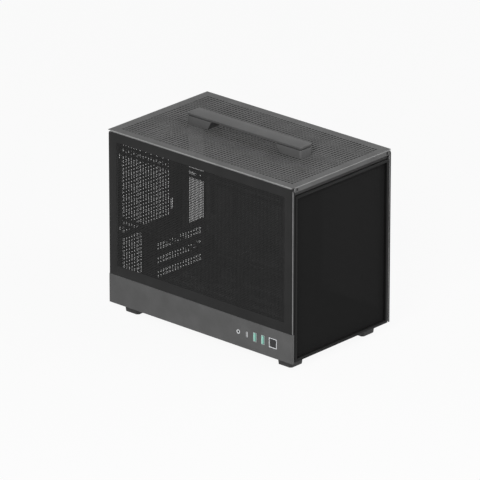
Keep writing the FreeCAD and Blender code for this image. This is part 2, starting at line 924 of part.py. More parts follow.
def power_button():
    y, z = button_y, socket_z
    half = button_opening() / 2 - button_gap
    front = -x_panel + button_recess
    cap = box(front, front + button_length, y - half, y + half, z - half, z + half)
    wide = half + button_flange
    x0 = x_strip_inner + sheet + seat_gap
    flange = box(x0, x0 + sheet, y - wide, y + wide, z - wide, z + wide)
    return join(cap, flange)


def button_switch():
    """The push switch on the small board, a travel and a clearance behind the button."""
    x0 = -x_panel + button_recess + button_length + button_travel + seat_gap
    half = switch_size / 2
    y, z = button_y, socket_z
    return box(x0, x_board, y - half, y + half, z - half, z + half)


def handle_block_centres():
    centre = (handle_length - block_length) / 2
    return (("front", -centre), ("rear", centre))


def handle_screw_places():
    return [
        (0, y + dy)
        for name, y in handle_block_centres()
        for dy in (-handle_screw_inset, handle_screw_inset)
    ]


def top_cover():
    """The perforated lid. Its skirts and rims are strips of the same sheet below it."""
    half_w = x_panel - cover_border / 2
    half_l = y_end - cover_border
    low = z_cover_under
    half = handle_width / 2
    clear = [
        (-half, half, y - block_length / 2, y + block_length / 2)
        for name, y in handle_block_centres()
    ]
    holes = vents("z", low, -half_w, half_w, -half_l, half_l, clear)
    holes += [screw_hole("z", low, x, y) for x, y in handle_screw_places()]
    outline = rectangle("z", low, -x_panel, x_panel, -y_end, y_end)
    return plate("z", low, z_cover, outline, holes)


def cover_skirt(side):
    """A strip that goes down inside the side panel's folds, with round lower corners."""
    level = -x_skirt if side < 0 else x_skirt_inner
    y0, y1 = y_front_inner + seat_gap, y_rear_inner - seat_gap
    low, high = z_cover_under - skirt_depth, z_cover_under
    shape = rounded("x", level, y0, y1, low, high + skirt_corner, skirt_corner)
    holes = []
    for y in (y_front_stud, y_rear_stud):
        holes.append(octagon("x", level, y, z_cover - skirt_hole_drop, skirt_hole_radius))
    above = box(level, level + sheet, y0, y1, high, high + 2 * skirt_corner)
    return plate("x", level, level + sheet, shape, holes).cut(above)


def cover_front_rim():
    holes = []
    for x in (-x_skirt + rim_slot_inset, x_skirt - rim_slot_inset):
        w = rim_slot_width / 2
        z1 = z_cover_under - (cover_rim - rim_slot_height) / 2
        holes.append(rectangle("y", -y_end, x - w, x + w, z1 - rim_slot_height, z1))
    low = z_cover_under - cover_rim
    outline = rectangle("y", -y_end, -x_skirt, x_skirt, low, z_cover_under)
    return plate("y", -y_end, -y_end + sheet, outline, holes)


def cover_rear_rim():
    half = x_skirt_inner - 2 * seat_gap
    return box(-half, half, y_rear_inner, y_rear, z_beam + seat_gap, z_cover_under)


def handle_strap():
    half_w, half_l = handle_width / 2, handle_length / 2
    low = case_height - strap_thickness
    outline = rounded("z", low, -half_w, half_w, -half_l, half_l, strap_corner)
    return plate("z", low, case_height, outline)


def handle_block(y):
    """An end block: rounded outside, sloped towards the fingers, with a neck under the strap."""
    half_w = handle_width / 2 - block_inset
    outward = 1 if y > 0 else -1
    tip = outward * (handle_length / 2 - block_inset)
    heel = tip - outward * block_length
    corners = [
        (tip, z_cover),
        (heel + outward * finger_slope, z_cover),
        (heel, z_handle_block),
        (tip, z_handle_block),
    ]
    body = plate("x", -half_w, half_w, polygon("x", -half_w, corners))
    edges = [
        e for e in body.Edges
        if all(abs(v.Y - tip) < 1e-6 for v in e.Vertexes) and abs(e.Vertexes[0].Z - e.Vertexes[1].Z) > 1
    ]
    body = body.makeFillet(strap_corner - block_inset, edges)
    y0, y1 = sorted((tip - outward * neck_inset, heel + outward * neck_inset))
    neck_w = half_w - neck_inset
    neck = box(-neck_w, neck_w, y0, y1, z_handle_block, z_handle_block + neck_height)
    block = body.fuse(neck)
    for x, place in handle_screw_places():
        block = block.cut(
            post("z", z_cover, z_cover + screw_length, x, place, screw_radius + screw_gap)
        )
    return block.removeSplitter()


def handle_screws():
    places = handle_screw_places()
    return [screw("z", z_cover_under, 1, x, y, screw_length) for x, y in places]


def filter_frame(axis, low, high, u0, u1, v0, v1, border, cloth_low, tab=0.0):
    """A plastic frame with a rebate for the cloth, and small guide tabs on its long edges."""
    hole = rectangle(axis, low, u0 + border, u1 - border, v0 + border, v1 - border)
    frame = plate(axis, low, high, rectangle(axis, low, u0, u1, v0, v1), [hole])
    if tab:
        for v in filter_tab_places:
            half = filter_tab_length / 2
            for a, b in ((u0 - tab, u0), (u1, u1 + tab)):
                shape = rectangle(axis, low, a, b, v - half, v + half)
                frame = frame.fuse(plate(axis, low, high, shape))
    r = border - filter_rebate
    outline = rectangle(axis, cloth_low, u0 + r, u1 - r, v0 + r, v1 - r)
    rebate = plate(axis, cloth_low, cloth_low + filter_cloth, outline)
    return frame.cut(rebate).removeSplitter(), rebate


def top_filter():
    half = x_skirt_inner - seat_gap
    tab = sheet
    y0, y1 = y_front_inner + seat_gap, y_rear_inner - seat_gap
    low, high = z_beam + seat_gap, z_panel
    return filter_frame("z", low, high, tab - half, half - tab, y0, y1, filter_border, low, tab)


def bottom_filter():
    half = x_skirt
    tab = sheet
    y0, y1 = y_front_inner + seat_gap, y_rear_inner - seat_gap
    low = z_bottom_filter
    high = low + filter_thickness
    return filter_frame("z", low, high, tab - half, half - tab, y0, y1, filter_border, low, tab)


def front_filter():
    half = x_panel - front_filter_margin
    low, high = -y_end, -y_end + front_filter_depth
    z0 = z_base + front_filter_foot_gap
    z1 = z_cover_under - cover_rim - front_filter_top_gap
    cloth = high - filter_cloth
    frame, cloth_piece = filter_frame(
        "y", low, high, -half, half, z0, z1, front_filter_border, cloth
    )
    for x in (-x_frame + prong_inset, x_frame - prong_inset):
        for z in prong_heights:
            w, h = prong_width / 2, prong_height / 2
            prong = box(x - w, x + w, high, high + prong_length, z - h, z + h)
            frame = frame.fuse(prong)
    return frame.removeSplitter(), cloth_piece


def side_panel(side, z0, vent_y0, vent_y1):
    """A flat panel whose front, rear and top edges fold in round the frame."""
    outer = side * x_panel
    low = outer if side < 0 else outer - panel_sheet
    holes = vents("x", low, vent_y0, vent_y1, z0 + panel_border, z_panel - panel_border)
    outline = rectangle("x", low, -y_end, y_end, z0, z_panel)
    face = plate("x", low, low + panel_sheet, outline, holes)
    depth = sorted((side * (x_panel - panel_sheet), side * (x_panel - panel_fold)))
    wall = fold_wall
    corners = [
        (-y_end, z0), (-y_end + wall, z0), (-y_end + wall, z_panel - wall),
        (y_end - wall, z_panel - wall), (y_end - wall, z0), (y_end, z0),
        (y_end, z_panel), (-y_end, z_panel),
    ]
    return join(face, plate("x", *depth, polygon("x", depth[0], corners)))


def left_panel():
    z0 = strip_top + panel_strip_gap
    return side_panel(-1, z0, -y_end + panel_border, y_end - panel_border)


def right_panel():
    front = -y_end + panel_border
    return side_panel(1, z_base + front_filter_foot_gap, front, front + right_vent_length)


def studs(side, heights):
    """The round studs that snap into the folded edges."""
    made = []
    seat = side * (x_panel - panel_sheet)
    neck = side * (x_panel - panel_sheet - stud_length + stud_tip)
    end = neck - side * stud_tip
    for y in (y_front_stud, y_rear_stud):
        for z in heights:
            body = post("x", seat, neck, y, z, stud_radius)
            tip = post("x", neck, end, y, z, stud_radius - stud_tip / 2)
            made.append(join(body, tip))
    return made


os.makedirs("parts", exist_ok=True)
save("base_pan", base_pan())
save("front_wall", front_wall())
save("rear_wall", rear_wall())
for number, height in enumerate(slot_heights(), 1):
    save("slot_cover_" + str(number), slot_cover(height))
save("slot_thumb_screws", *thumb_screws())
save("board_tray", board_tray())
save("board_standoffs", *standoffs())
save("side_rail", side_rail())
save("front_post", front_post())
save("psu_bracket", psu_bracket())
save("fan_bar_upper", fan_bar(upper_bar_z))
save("fan_bar_lower", fan_bar(lower_bar_z))
save("fan_bar_screws", *bar_screws())
save("card_support", card_support())
save("card_support_screws", *support_screws())
for place, x, y in feet_places():
    save("foot_" + place, foot(x, y))
save("foot_screws", *foot_screws())
save("io_strip", io_strip())
save("io_board", io_board())
save("audio_jack", audio_jack())
save("usb_a_shells", *[usb_a_shell(y) for y in usb_a_places])
save("usb_a_tongues", *[usb_a_tongue_piece(y) for y in usb_a_places])
save("usb_c_shell", usb_c_shell())
save("usb_c_tongue", usb_c_tongue_piece())
save("button_bezel", button_bezel())
save("power_button", power_button())
save("button_switch", button_switch())
save("top_cover", top_cover())
save("cover_skirt_left", cover_skirt(-1))
save("cover_skirt_right", cover_skirt(1))
save("cover_front_rim", cover_front_rim())
save("cover_rear_rim", cover_rear_rim())
save("handle_strap", handle_strap())
for name, y in handle_block_centres():
    save("handle_block_" + name, handle_block(y))
save("handle_screws", *handle_screws())
for name, pieces in (
    ("top_filter", top_filter()),
    ("bottom_filter", bottom_filter()),
    ("front_filter", front_filter()),
):
    save(name + "_frame", pieces[0])
    save(name + "_cloth", pieces[1])
save("left_panel", left_panel())
save("left_panel_studs", *studs(-1, left_stud_heights))
save("right_panel", right_panel())
save("right_panel_studs", *studs(1, right_stud_heights))
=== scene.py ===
import json
import math

import bmesh
import bpy
import numpy as np
from mathutils import Matrix, Vector
from mathutils.geometry import delaunay_2d_cdt


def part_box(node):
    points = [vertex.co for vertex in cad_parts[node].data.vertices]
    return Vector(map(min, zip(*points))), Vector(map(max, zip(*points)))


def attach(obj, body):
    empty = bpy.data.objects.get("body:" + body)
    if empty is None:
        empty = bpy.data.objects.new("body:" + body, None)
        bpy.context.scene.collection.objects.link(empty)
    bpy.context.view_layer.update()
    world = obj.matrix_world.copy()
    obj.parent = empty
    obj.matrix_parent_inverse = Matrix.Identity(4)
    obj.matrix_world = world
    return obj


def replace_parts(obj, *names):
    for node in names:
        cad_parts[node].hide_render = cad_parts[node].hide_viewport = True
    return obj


# Sheet metal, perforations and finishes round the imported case. Lengths are in millimetres until
# a mesh is made, and in metres from then on.

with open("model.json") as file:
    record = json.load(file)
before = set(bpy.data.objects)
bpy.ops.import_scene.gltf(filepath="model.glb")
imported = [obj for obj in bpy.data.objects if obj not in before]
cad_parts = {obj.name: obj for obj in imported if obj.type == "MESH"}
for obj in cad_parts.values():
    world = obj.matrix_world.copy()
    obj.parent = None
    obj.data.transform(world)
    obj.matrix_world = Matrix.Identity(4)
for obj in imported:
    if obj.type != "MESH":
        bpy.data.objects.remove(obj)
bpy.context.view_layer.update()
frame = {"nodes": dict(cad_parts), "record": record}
MM = 0.001

# Sheet metal
SHEET = 1.0
PANEL_SHEET = 0.9
BEND = 1.4
BEND_STEPS = 4
# The middle part of a bend's outside, which gets a painted highlight
HIGHLIGHTED_PART_OF_BEND = (0.2, 0.8)
LONGEST_VENT_EDGE = 4.6

# Perforations: pitch and hole of the coarse sheets, and of the fine side panels
COARSE_PITCH = 5.67
ROUND_HOLE = 4.4
COVER_HOLE = 4.7
SQUARE_HOLE = 4.1
FINE_PITCH = 2.44
FINE_HOLE = 1.6
LEFT_HOLE = 1.5
VENT_SIDES = 8

# Flat patterns: triangles only inside the outline, and points closer than these are one
INSIDE_OUTLINE = 1
TRIANGLE_GAP = 1e-5
PLACES_PER_MM = 1000
ROUNDING = 1e-6

# The photograph's camera, fitted to the corners of the case: angles in degrees, lengths in mm
CAMERA_AZIMUTH = 47.956
CAMERA_ELEVATION = 21.652
CAMERA_DISTANCE = 8250.16
CAMERA_AIM = (0.0, 0.0, 130.0)
CAMERA_SIDE = -12.524
CAMERA_RISE = -9.508
FOCAL_PIXELS = 6058.95
PICTURE_PIXELS = 480
SENSOR_WIDTH = 36.0
FARTHEST_SEEN = 100.0


def corners(node):
    """The lowest and highest corner of a CAD node at rest, in millimetres."""
    low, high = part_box(node)
    return tuple(round(v / MM, 4) for v in (*low, *high))


# Materials


def new_material(name, colour, roughness, metallic=0.0):
    made = bpy.data.materials.new(name)
    made.use_nodes = True
    shader = made.node_tree.nodes["Principled BSDF"]
    shader.inputs["Base Color"].default_value = (*colour, 1.0)
    shader.inputs["Roughness"].default_value = roughness
    shader.inputs["Metallic"].default_value = metallic
    return made, made.node_tree, shader


def add(tree, kind, **inputs):
    node = tree.nodes.new(kind)
    for name, value in inputs.items():
        node.inputs[name.replace("_", " ")].default_value = value
    return node


def object_noise(tree, scale, detail=2.0):
    """Noise that is fixed to the piece."""
    place = tree.nodes.new("ShaderNodeTexCoord")
    noise = add(tree, "ShaderNodeTexNoise", Scale=scale, Detail=detail)
    tree.links.new(place.outputs["Object"], noise.inputs["Vector"])
    return noise


def ramp(tree, source, low, high, start=0.3, end=0.7):
    """Maps a value from 0 to 1 to colours from low to high."""
    node = tree.nodes.new("ShaderNodeValToRGB")
    node.color_ramp.elements[0].position = start
    node.color_ramp.elements[1].position = end
    node.color_ramp.elements[0].color = low
    node.color_ramp.elements[1].color = high
    tree.links.new(source, node.inputs["Fac"])
    return node


def grey(value):
    return (value, value, value, 1.0)


MOTTLE_SCALE = 38.0
MOTTLE = 0.1


def coated(name, tone, roughness, grain=2600.0, bump=0.05, edge=0.0004, shine=0.5):
    """Powder coat or moulded plastic: a fine grain, a faint mottle, and edges that catch light."""
    made, tree, shader = new_material(name, (tone, tone, tone), roughness)
    mottle = object_noise(tree, MOTTLE_SCALE, 3.0)
    shader.inputs["Specular IOR Level"].default_value = shine
    colour = ramp(tree, mottle.outputs["Fac"], grey(tone * (1 - MOTTLE)), grey(tone * (1 + MOTTLE)))
    tree.links.new(colour.outputs["Color"], shader.inputs["Base Color"])
    fine = object_noise(tree, grain, 1.0)
    rough = ramp(
        tree, fine.outputs["Fac"], grey(roughness - 0.05), grey(roughness + 0.07), 0.35, 0.65
    )
    tree.links.new(rough.outputs["Color"], shader.inputs["Roughness"])
    relief = add(tree, "ShaderNodeBump", Strength=bump, Distance=0.0001)
    tree.links.new(fine.outputs["Fac"], relief.inputs["Height"])
    if edge:
        round_edge = tree.nodes.new("ShaderNodeBevel")
        round_edge.samples = 4
        round_edge.inputs["Radius"].default_value = edge
        tree.links.new(round_edge.outputs["Normal"], relief.inputs["Normal"])
    tree.links.new(relief.outputs["Normal"], shader.inputs["Normal"])
    return made


DRAWN_LINES = (400.0, 400.0, 6000.0)


def plated(name, colour, roughness):
    """Bare metal with fine drawn lines."""
    made, tree, shader = new_material(name, colour, roughness, 1.0)
    place = tree.nodes.new("ShaderNodeTexCoord")
    stretch = tree.nodes.new("ShaderNodeMapping")
    stretch.inputs["Scale"].default_value = DRAWN_LINES
    lines = add(tree, "ShaderNodeTexNoise", Scale=1.0, Detail=2.0)
    tree.links.new(place.outputs["Object"], stretch.inputs["Vector"])
    tree.links.new(stretch.outputs["Vector"], lines.inputs["Vector"])
    rough = ramp(tree, lines.outputs["Fac"], grey(roughness - 0.06), grey(roughness + 0.1))
    tree.links.new(rough.outputs["Color"], shader.inputs["Roughness"])
    return made


PLASTIC_SCALE = 220.0


def moulded(name, colour, roughness):
    """Coloured plastic with a faint unevenness."""
    made, tree, shader = new_material(name, colour, roughness)
    noise = object_noise(tree, PLASTIC_SCALE)
    low = (*[c * 0.93 for c in colour], 1.0)
    high = (*[min(1.0, c * 1.05) for c in colour], 1.0)
    tone = ramp(tree, noise.outputs["Fac"], low, high)
    tree.links.new(tone.outputs["Color"], shader.inputs["Base Color"])
    return made


THREAD_PITCH = 0.55
BANDS_PER_UNIT = 20 / (2 * math.pi)


def mesh_cloth(name, tone, cover):
    """A fine dark net: crossing threads in relief, with part of the light let through."""
    made, tree, shader = new_material(name, (tone, tone, tone), 0.75)
    shader.inputs["Alpha"].default_value = cover
    shader.inputs["Specular IOR Level"].default_value = 0.06
    place = tree.nodes.new("ShaderNodeTexCoord")
    waves = []
    for axis in ("X", "Y", "Z"):
        wave = tree.nodes.new("ShaderNodeTexWave")
        wave.bands_direction = axis
        wave.inputs["Scale"].default_value = 1 / (BANDS_PER_UNIT * THREAD_PITCH * MM)
        tree.links.new(place.outputs["Object"], wave.inputs["Vector"])
        waves.append(wave.outputs["Fac"])
    total = waves[0]
    for other in waves[1:]:
        both = tree.nodes.new("ShaderNodeMath")
        both.operation = "MAXIMUM"
        tree.links.new(total, both.inputs[0])
        tree.links.new(other, both.inputs[1])
        total = both.outputs[0]
    threads = ramp(tree, total, grey(tone * 0.6), grey(tone * 1.3), 0.2, 0.9)
    tree.links.new(threads.outputs["Color"], shader.inputs["Base Color"])
    relief = add(tree, "ShaderNodeBump", Strength=0.4, Distance=0.0002)
    tree.links.new(total, relief.inputs["Height"])
    tree.links.new(relief.outputs["Normal"], shader.inputs["Normal"])
    return made


FINISH = {
    "steel": coated("steel_coat", 0.09, 0.5, shine=0.15),
    "panel": coated("panel_coat", 0.014, 0.42, edge=0.0, shine=0.15),
    "grip": coated("grip_plastic", 0.07, 0.5, grain=1800.0, bump=0.12, edge=0.0006, shine=0.3),
    "foot": coated("foot_rubber", 0.022, 0.62, grain=1400.0, bump=0.15, edge=0.0005),
    "filter_frame": coated("filter_plastic", 0.014, 0.35, grain=1500.0, bump=0.1, shine=0.3),
    "filter_cloth": mesh_cloth("filter_net", 0.010, 0.88),
    "screw": coated("screw_coat", 0.03, 0.34, grain=3000.0, bump=0.05, edge=0.0002),
    "standoff": plated("standoff_black", (0.16, 0.16, 0.165), 0.35),
    "board": moulded("board_mask", (0.012, 0.045, 0.03), 0.4),
    "shell": plated("socket_shell", (0.62, 0.63, 0.64), 0.3),
    "tongue_green": moulded("tongue_teal", (0.30, 0.62, 0.52), 0.35),
    "tongue_dark": moulded("tongue_black", (0.03, 0.03, 0.03), 0.4),
    "socket": moulded("socket_pale", (0.60, 0.61, 0.62), 0.35),
    "bezel": moulded("bezel_pale", (0.62, 0.63, 0.65), 0.3),
    "button": moulded("button_black", (0.008, 0.008, 0.009), 0.5),
}

# Looks of the pieces made here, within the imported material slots
SHEET_COAT = coated("sheet_coat", 0.09, 0.5, edge=0.0, shine=0.15)
# Side panels' inner face: a much lighter copy of the panel coat, painted light
PANEL_BACK_LIT = coated("panel_back_painted_light", 0.15, 0.45, edge=0.0, shine=0.15)
# Front wall: a darker copy of the sheet coat, painted shade
FRONT_SHADED_COAT = coated("front_painted_shade", 0.062, 0.5, edge=0.0, shine=0.15)
# Inner faces of the front and rear walls: a darker copy of the sheet coat, painted shade
INNER_SHADED_COAT = coated("inner_painted_shade", 0.03, 0.45, edge=0.0, shine=0.1)
# Front filter frame: a darker copy of the filter plastic, painted shade
FRONT_FRAME_SHADED = coated("front_frame_painted_shade", 0.006, 0.35, grain=1500.0, bump=0.1, shine=0.12)
BAR_COAT = coated("bar_coat", 0.03, 0.4, shine=0.2)
CATCH_METAL = plated("catch_metal", (0.3, 0.3, 0.31), 0.4)
# Brackets: a lighter copy of the steel coat, painted light
BRACKET_LIT_COAT = coated("bracket_painted_light", 0.2, 0.4, shine=0.2)
# Cut edges: a lighter coat that paints a highlight along them
EDGE_HIGHLIGHT = coated("edge_painted_highlight", 0.28, 0.35, edge=0.0)
# Outsides of bends: a lighter, glossier coat that paints a highlight
BEND_HIGHLIGHT = coated("bend_painted_highlight", 0.16, 0.3, edge=0.0)
BLACK = coated("plain_black", 0.004, 0.6, edge=0.0, shine=0.1)
# Front filter net: a darker, denser copy of the filter net, painted shade
FRONT_NET_SHADED = mesh_cloth("front_filter_net", 0.007, 0.965)

for part in frame["record"]["subparts"]:
    node = frame["nodes"][part["node"]]
    node.data.materials.clear()
    node.data.materials.append(FINISH[part["material_slot"]])
# These brackets take the lighter steel copy, a painted light
for name in ("front_post", "psu_bracket", "side_rail"):
    frame["nodes"][name].data.materials[0] = BRACKET_LIT_COAT
for name in ("fan_bar_upper", "fan_bar_lower"):
    frame["nodes"][name].data.materials[0] = BAR_COAT
# The front filter's frame takes the darker plastic copy, a painted shade
frame["nodes"]["front_filter_frame"].data.materials[0] = FRONT_FRAME_SHADED


# Sheet metal: a flat pattern with its holes and fields of vents, given thickness and then folded


class Field:
    """A field of holes on a square grid, in the middle of a rectangle of the pattern."""

    def __init__(self, u0, u1, v0, v1, pitch, hole, round_holes=False):
        self.pitch, self.hole, self.round_holes = pitch, hole, round_holes
        self.columns = int((u1 - u0) / pitch + ROUNDING)
        self.rows = int((v1 - v0) / pitch + ROUNDING)
        self.u0 = (u0 + u1 - self.columns * pitch) / 2
        self.v0 = (v0 + v1 - self.rows * pitch) / 2
        self.u1 = self.u0 + self.columns * pitch
        self.v1 = self.v0 + self.rows * pitch

    def lines(self, start, count):
        """The grid's lines along one side: the cells' edges, and the holes' edges if square."""
        cells = start + self.pitch * np.arange(count + 1)
        if self.round_holes:
            return cells
        middles = start + self.pitch * (np.arange(count) + 0.5)
        half = self.hole / 2
        return np.sort(np.concatenate([cells[[0, -1]], middles - half, middles + half]))

    def border(self):
        us, vs = self.lines(self.u0, self.columns), self.lines(self.v0, self.rows)
        around = [(u, vs[0]) for u in us[:-1]] + [(us[-1], v) for v in vs[:-1]]
        return around + [(u, vs[-1]) for u in us[:0:-1]] + [(us[0], v) for v in vs[:0:-1]]

    def faces(self):
        """Points and faces of the sheet between the holes."""
        if self.round_holes:
            return self.round_faces()
        us, vs = self.lines(self.u0, self.columns), self.lines(self.v0, self.rows)
        points = [(u, v) for v in vs for u in us]
        wide = len(us)
        found = []
        for row in range(len(vs) - 1):
            for column in range(wide - 1):
                if row % 2 == 1 and column % 2 == 1:
                    continue
                a = row * wide + column
                found.append((a, a + 1, a + 1 + wide, a + wide))
        return points, found

    def round_faces(self):
        """The same for round holes: each cell is split between its corners and its hole."""
        us, vs = self.lines(self.u0, self.columns), self.lines(self.v0, self.rows)
        wide = len(us)
        points = [(u, v) for v in vs for u in us]
        found = []
        turns = [math.radians(360 / VENT_SIDES * (step + 0.5)) for step in range(VENT_SIDES)]
        radius = self.hole / 2
        for row in range(self.rows):
            for column in range(self.columns):
                a = row * wide + column
                cell = (a + 1 + wide, a + wide, a, a + 1)
                u = self.u0 + (column + 0.5) * self.pitch
                v = self.v0 + (row + 0.5) * self.pitch
                ring = len(points)
                points += [(u + radius * math.cos(t), v + radius * math.sin(t)) for t in turns]
                for side in range(4):
                    corner, following = cell[side], cell[(side + 1) % 4]
                    near, far, last = (ring + (2 * side + i) % VENT_SIDES for i in range(3))
                    found.append((corner, far, near))
                    found.append((corner, following, last, far))
        return points, found


def inside(outline, points):
    """Which points lie in a closed outline."""
    outline = np.asarray(outline)
    x, y = points[:, 0], points[:, 1]
    result = np.zeros(len(points), bool)
    for (x0, y0), (x1, y1) in zip(outline, np.roll(outline, -1, axis=0)):
        if y0 == y1:
            continue
        crosses = (y0 > y) != (y1 > y)
        result ^= crosses & (x < (x1 - x0) * (y - y0) / (y1 - y0) + x0)
    return result


def flat_pattern(outline, holes=(), fields=(), folds=()):
    """A flat mesh of an outline with holes and vent fields. Folds are lines that it is split on."""
    points, edges = [], []
    for loop in [outline, *holes, *[field.border() for field in fields]]:
        first = len(points)
        points += [tuple(p) for p in loop]
        edges += [(first + i, first + (i + 1) % len(loop)) for i in range(len(loop))]
    for start, end in folds:
        edges.append((len(points), len(points) + 1))
        points += [start, end]
    vertices, _, triangles, *_ = delaunay_2d_cdt(
        [Vector(p) for p in points], edges, [], INSIDE_OUTLINE, TRIANGLE_GAP
    )
    vertices = np.array([tuple(v) for v in vertices])
    triangles = np.array([t[:3] for t in triangles])
    middles = vertices[triangles].mean(axis=1)
    keep = inside(outline, middles)
    for loop in holes:
        keep &= ~inside(loop, middles)
    u, v = middles[:, 0], middles[:, 1]
    for field in fields:
        keep &= ~((u > field.u0) & (u < field.u1) & (v > field.v0) & (v < field.v1))
    vertices = [tuple(v) for v in vertices]
    faces = [tuple(int(i) for i in t) for t in triangles[keep]]
    for field in fields:
        more, found = field.faces()
        first = len(vertices)
        vertices += more
        faces += [tuple(first + i for i in face) for face in found]
    return merge(vertices, faces)


def merge(vertices, faces):
    """Makes points at the same place one, and turns every face the same way."""
    known, index, points = {}, [], []
    for u, v in vertices:
        key = (round(u * PLACES_PER_MM), round(v * PLACES_PER_MM))
        if key not in known:
            known[key] = len(points)
            points.append((u, v))
        index.append(known[key])
    made = []
    for face in faces:
        face = [index[i] for i in face]
        area = sum(
            points[a][0] * points[b][1] - points[b][0] * points[a][1]
            for a, b in zip(face, face[1:] + face[:1])
        )
        made.append(tuple(face) if area > 0 else tuple(reversed(face)))
    return np.array(points), made


def folded(points, depth, bends):
    """Bends a pattern. Each bend is (axis, place, way): the sheet turns inwards past that line.

    Inwards is towards growing depth. The outer face has depth 0."""
    flat = [points[:, 0].copy(), points[:, 1].copy()]
    level = np.full(len(points), float(depth))
    for axis, place, way in bends:
        past = way * (flat[axis] - place) + BEND
        arc = BEND * math.pi / 2
        turn = np.clip(past, 0, arc) / BEND
        beyond = np.maximum(past - arc, 0)
        bent = past > 0
        reach = -BEND + (BEND - depth) * np.sin(turn)
        flat[axis] = np.where(bent, place + way * reach, flat[axis])
        sunk = BEND - (BEND - depth) * np.cos(turn) + beyond
        level = np.where(bent, sunk, level)
    return np.stack([flat[0], flat[1], level], axis=1)


def fold_lines(axis, place, way, low, high):
    """Lines across a bend, from low to high along it, so that its faces follow the arc."""
    lines = []
    for step in range(BEND_STEPS + 1):
        at = place + way * (-BEND + BEND * math.pi / 2 * step / BEND_STEPS)
        ends = ((at, low), (at, high))
        lines.append(ends if axis == 0 else tuple((v, u) for u, v in ends))
    return lines


def unfolded(place, way, depth):
    """Where in the pattern a point lies that is depth inwards of the outer face once folded."""
    return place + way * (depth - 2 * BEND + BEND * math.pi / 2)


def on_bend(points, face, bends):
    """Whether a face lies on the middle of a bend, where a lighter coat paints a highlight."""
    middle = points[list(face)].mean(axis=0)
    lit_from, lit_to = HIGHLIGHTED_PART_OF_BEND
    return any(
        lit_from < (way * (middle[axis] - place) / BEND + 1.0) * 2 / math.pi < lit_to
        for axis, place, way in bends
    )


def stack(pattern, thickness, bends=()):
    """A closed sheet: the pattern at two depths, and walls along its free edges.

    Walls too long to belong to a vent get the second material, a lighter coat that paints a highlight
    on the cut edge.
    The outside of a bend gets the third, a lighter coat that paints a highlight, and the back of the
    sheet the fourth."""
    points, faces = pattern
    count = len(points)
    edges = {}
    for face in faces:
        for a, b in zip(face, face[1:] + face[:1]):
            edges[(a, b)] = True
    free = [(a, b) for a, b in edges if (b, a) not in edges]
    walls = [(b, a, a + count, b + count) for a, b in free]
    placed = np.concatenate([folded(points, 0.0, bends), folded(points, thickness, bends)])
    shown = list(faces) + [tuple(i + count for i in reversed(face)) for face in faces] + walls
    slots = [2 * int(on_bend(points, face, bends)) for face in faces] + [3] * len(faces)
    slots += [int(np.linalg.norm(points[a] - points[b]) > LONGEST_VENT_EDGE) for a, b in free]
    return placed, shown, slots


def placed_on(axis, level, way, placed):
    """Takes (u, v, depth) to x, y, z, where depth goes from level the given way along axis."""
    u, v, depth = placed[:, 0], placed[:, 1], level + way * placed[:, 2]
    if axis == "x":
        return np.stack([depth, u, v], axis=1)
    if axis == "y":
        return np.stack([u, depth, v], axis=1)
    return np.stack([u, v, depth], axis=1)


class Shape:
    """Closed solids that make up one piece."""

    def __init__(self):
        self.points, self.faces, self.slots = [], [], []

    def put(self, points, faces, slots=None):
        first = len(self.points)
        self.points += [tuple(p) for p in points]
        self.faces += [tuple(first + i for i in face) for face in faces]
        self.slots += slots or [0] * len(faces)
        return self

    def sheet(self, axis, level, way, pattern, thickness=SHEET, bends=()):
        placed, faces, slots = stack(pattern, thickness, bends)
        return self.put(placed_on(axis, level, way, placed), faces, slots)

    def box(self, x0, x1, y0, y1, z0, z1, cut=()):
        """A box. Cut lists the sides that are cut edges, which get the painted edge highlight: 0 low
        z, 1 high z, 2 low y, 3 high y, ...
        """
        points = [(x, y, z) for z in (z0, z1) for y in (y0, y1) for x in (x0, x1)]
        faces = [(0, 2, 3, 1), (4, 5, 7, 6), (0, 1, 5, 4), (2, 6, 7, 3), (0, 4, 6, 2), (1, 3, 7, 5)]
        return self.put(points, faces, [int(side in cut) for side in range(6)])

    def turned(self, profile, place, axis=(0, 0, 1), steps=20, wobble=None):
        """A turned solid. The profile is (radius, height) from end to end, with both ends closed."""
        turn = Vector((0, 0, 1)).rotation_difference(Vector(axis)).to_matrix()
        points, faces = [], []
        for row, (radius, height) in enumerate(profile):
            for step in range(steps):
                angle = 2 * math.pi * step / steps
                r = radius * (wobble(step, row) if wobble else 1.0)
                points.append(turn @ Vector((r * math.cos(angle), r * math.sin(angle), height)))
        for row in range(len(profile) - 1):
            for step in range(steps):
                a, b = row * steps + step, row * steps + (step + 1) % steps
                faces.append((a, b, b + steps, a + steps))
        faces.append(tuple(range(steps))[::-1])
        last = (len(profile) - 1) * steps
        faces.append(tuple(range(last, last + steps)))
        return self.put([Vector(place) + p for p in points], faces)

    def piece(self, name, body, slot, finish=None, sharp=35.0, back=None):
        """The visible piece. Back is the coat of a sheet's inner face, where it is another one; those
        given are painted light on the side panels' inner faces and painted shade on the walls' inner
        faces.
        """
        mesh = bpy.data.meshes.new(name)
        mesh.from_pydata([(x * MM, y * MM, z * MM) for x, y, z in self.points], [], self.faces)
        tidy = bmesh.new()
        tidy.from_mesh(mesh)
        bmesh.ops.recalc_face_normals(tidy, faces=tidy.faces)
        tidy.to_mesh(mesh)
        tidy.free()
        mesh.shade_smooth()
        mesh.set_sharp_from_angle(angle=math.radians(sharp))
        front = finish or FINISH[slot]
        mesh.materials.append(front)
        if any(self.slots):
            for material in (EDGE_HIGHLIGHT, BEND_HIGHLIGHT, back or front):
                mesh.materials.append(material)
            mesh.polygons.foreach_set("material_index", self.slots)
        made = bpy.data.objects.new(name, mesh)
        bpy.context.scene.collection.objects.link(made)
        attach(made, body)
        return made


def rectangle(u0, u1, v0, v1):
    return [(u0, v0), (u1, v0), (u1, v1), (u0, v1)]


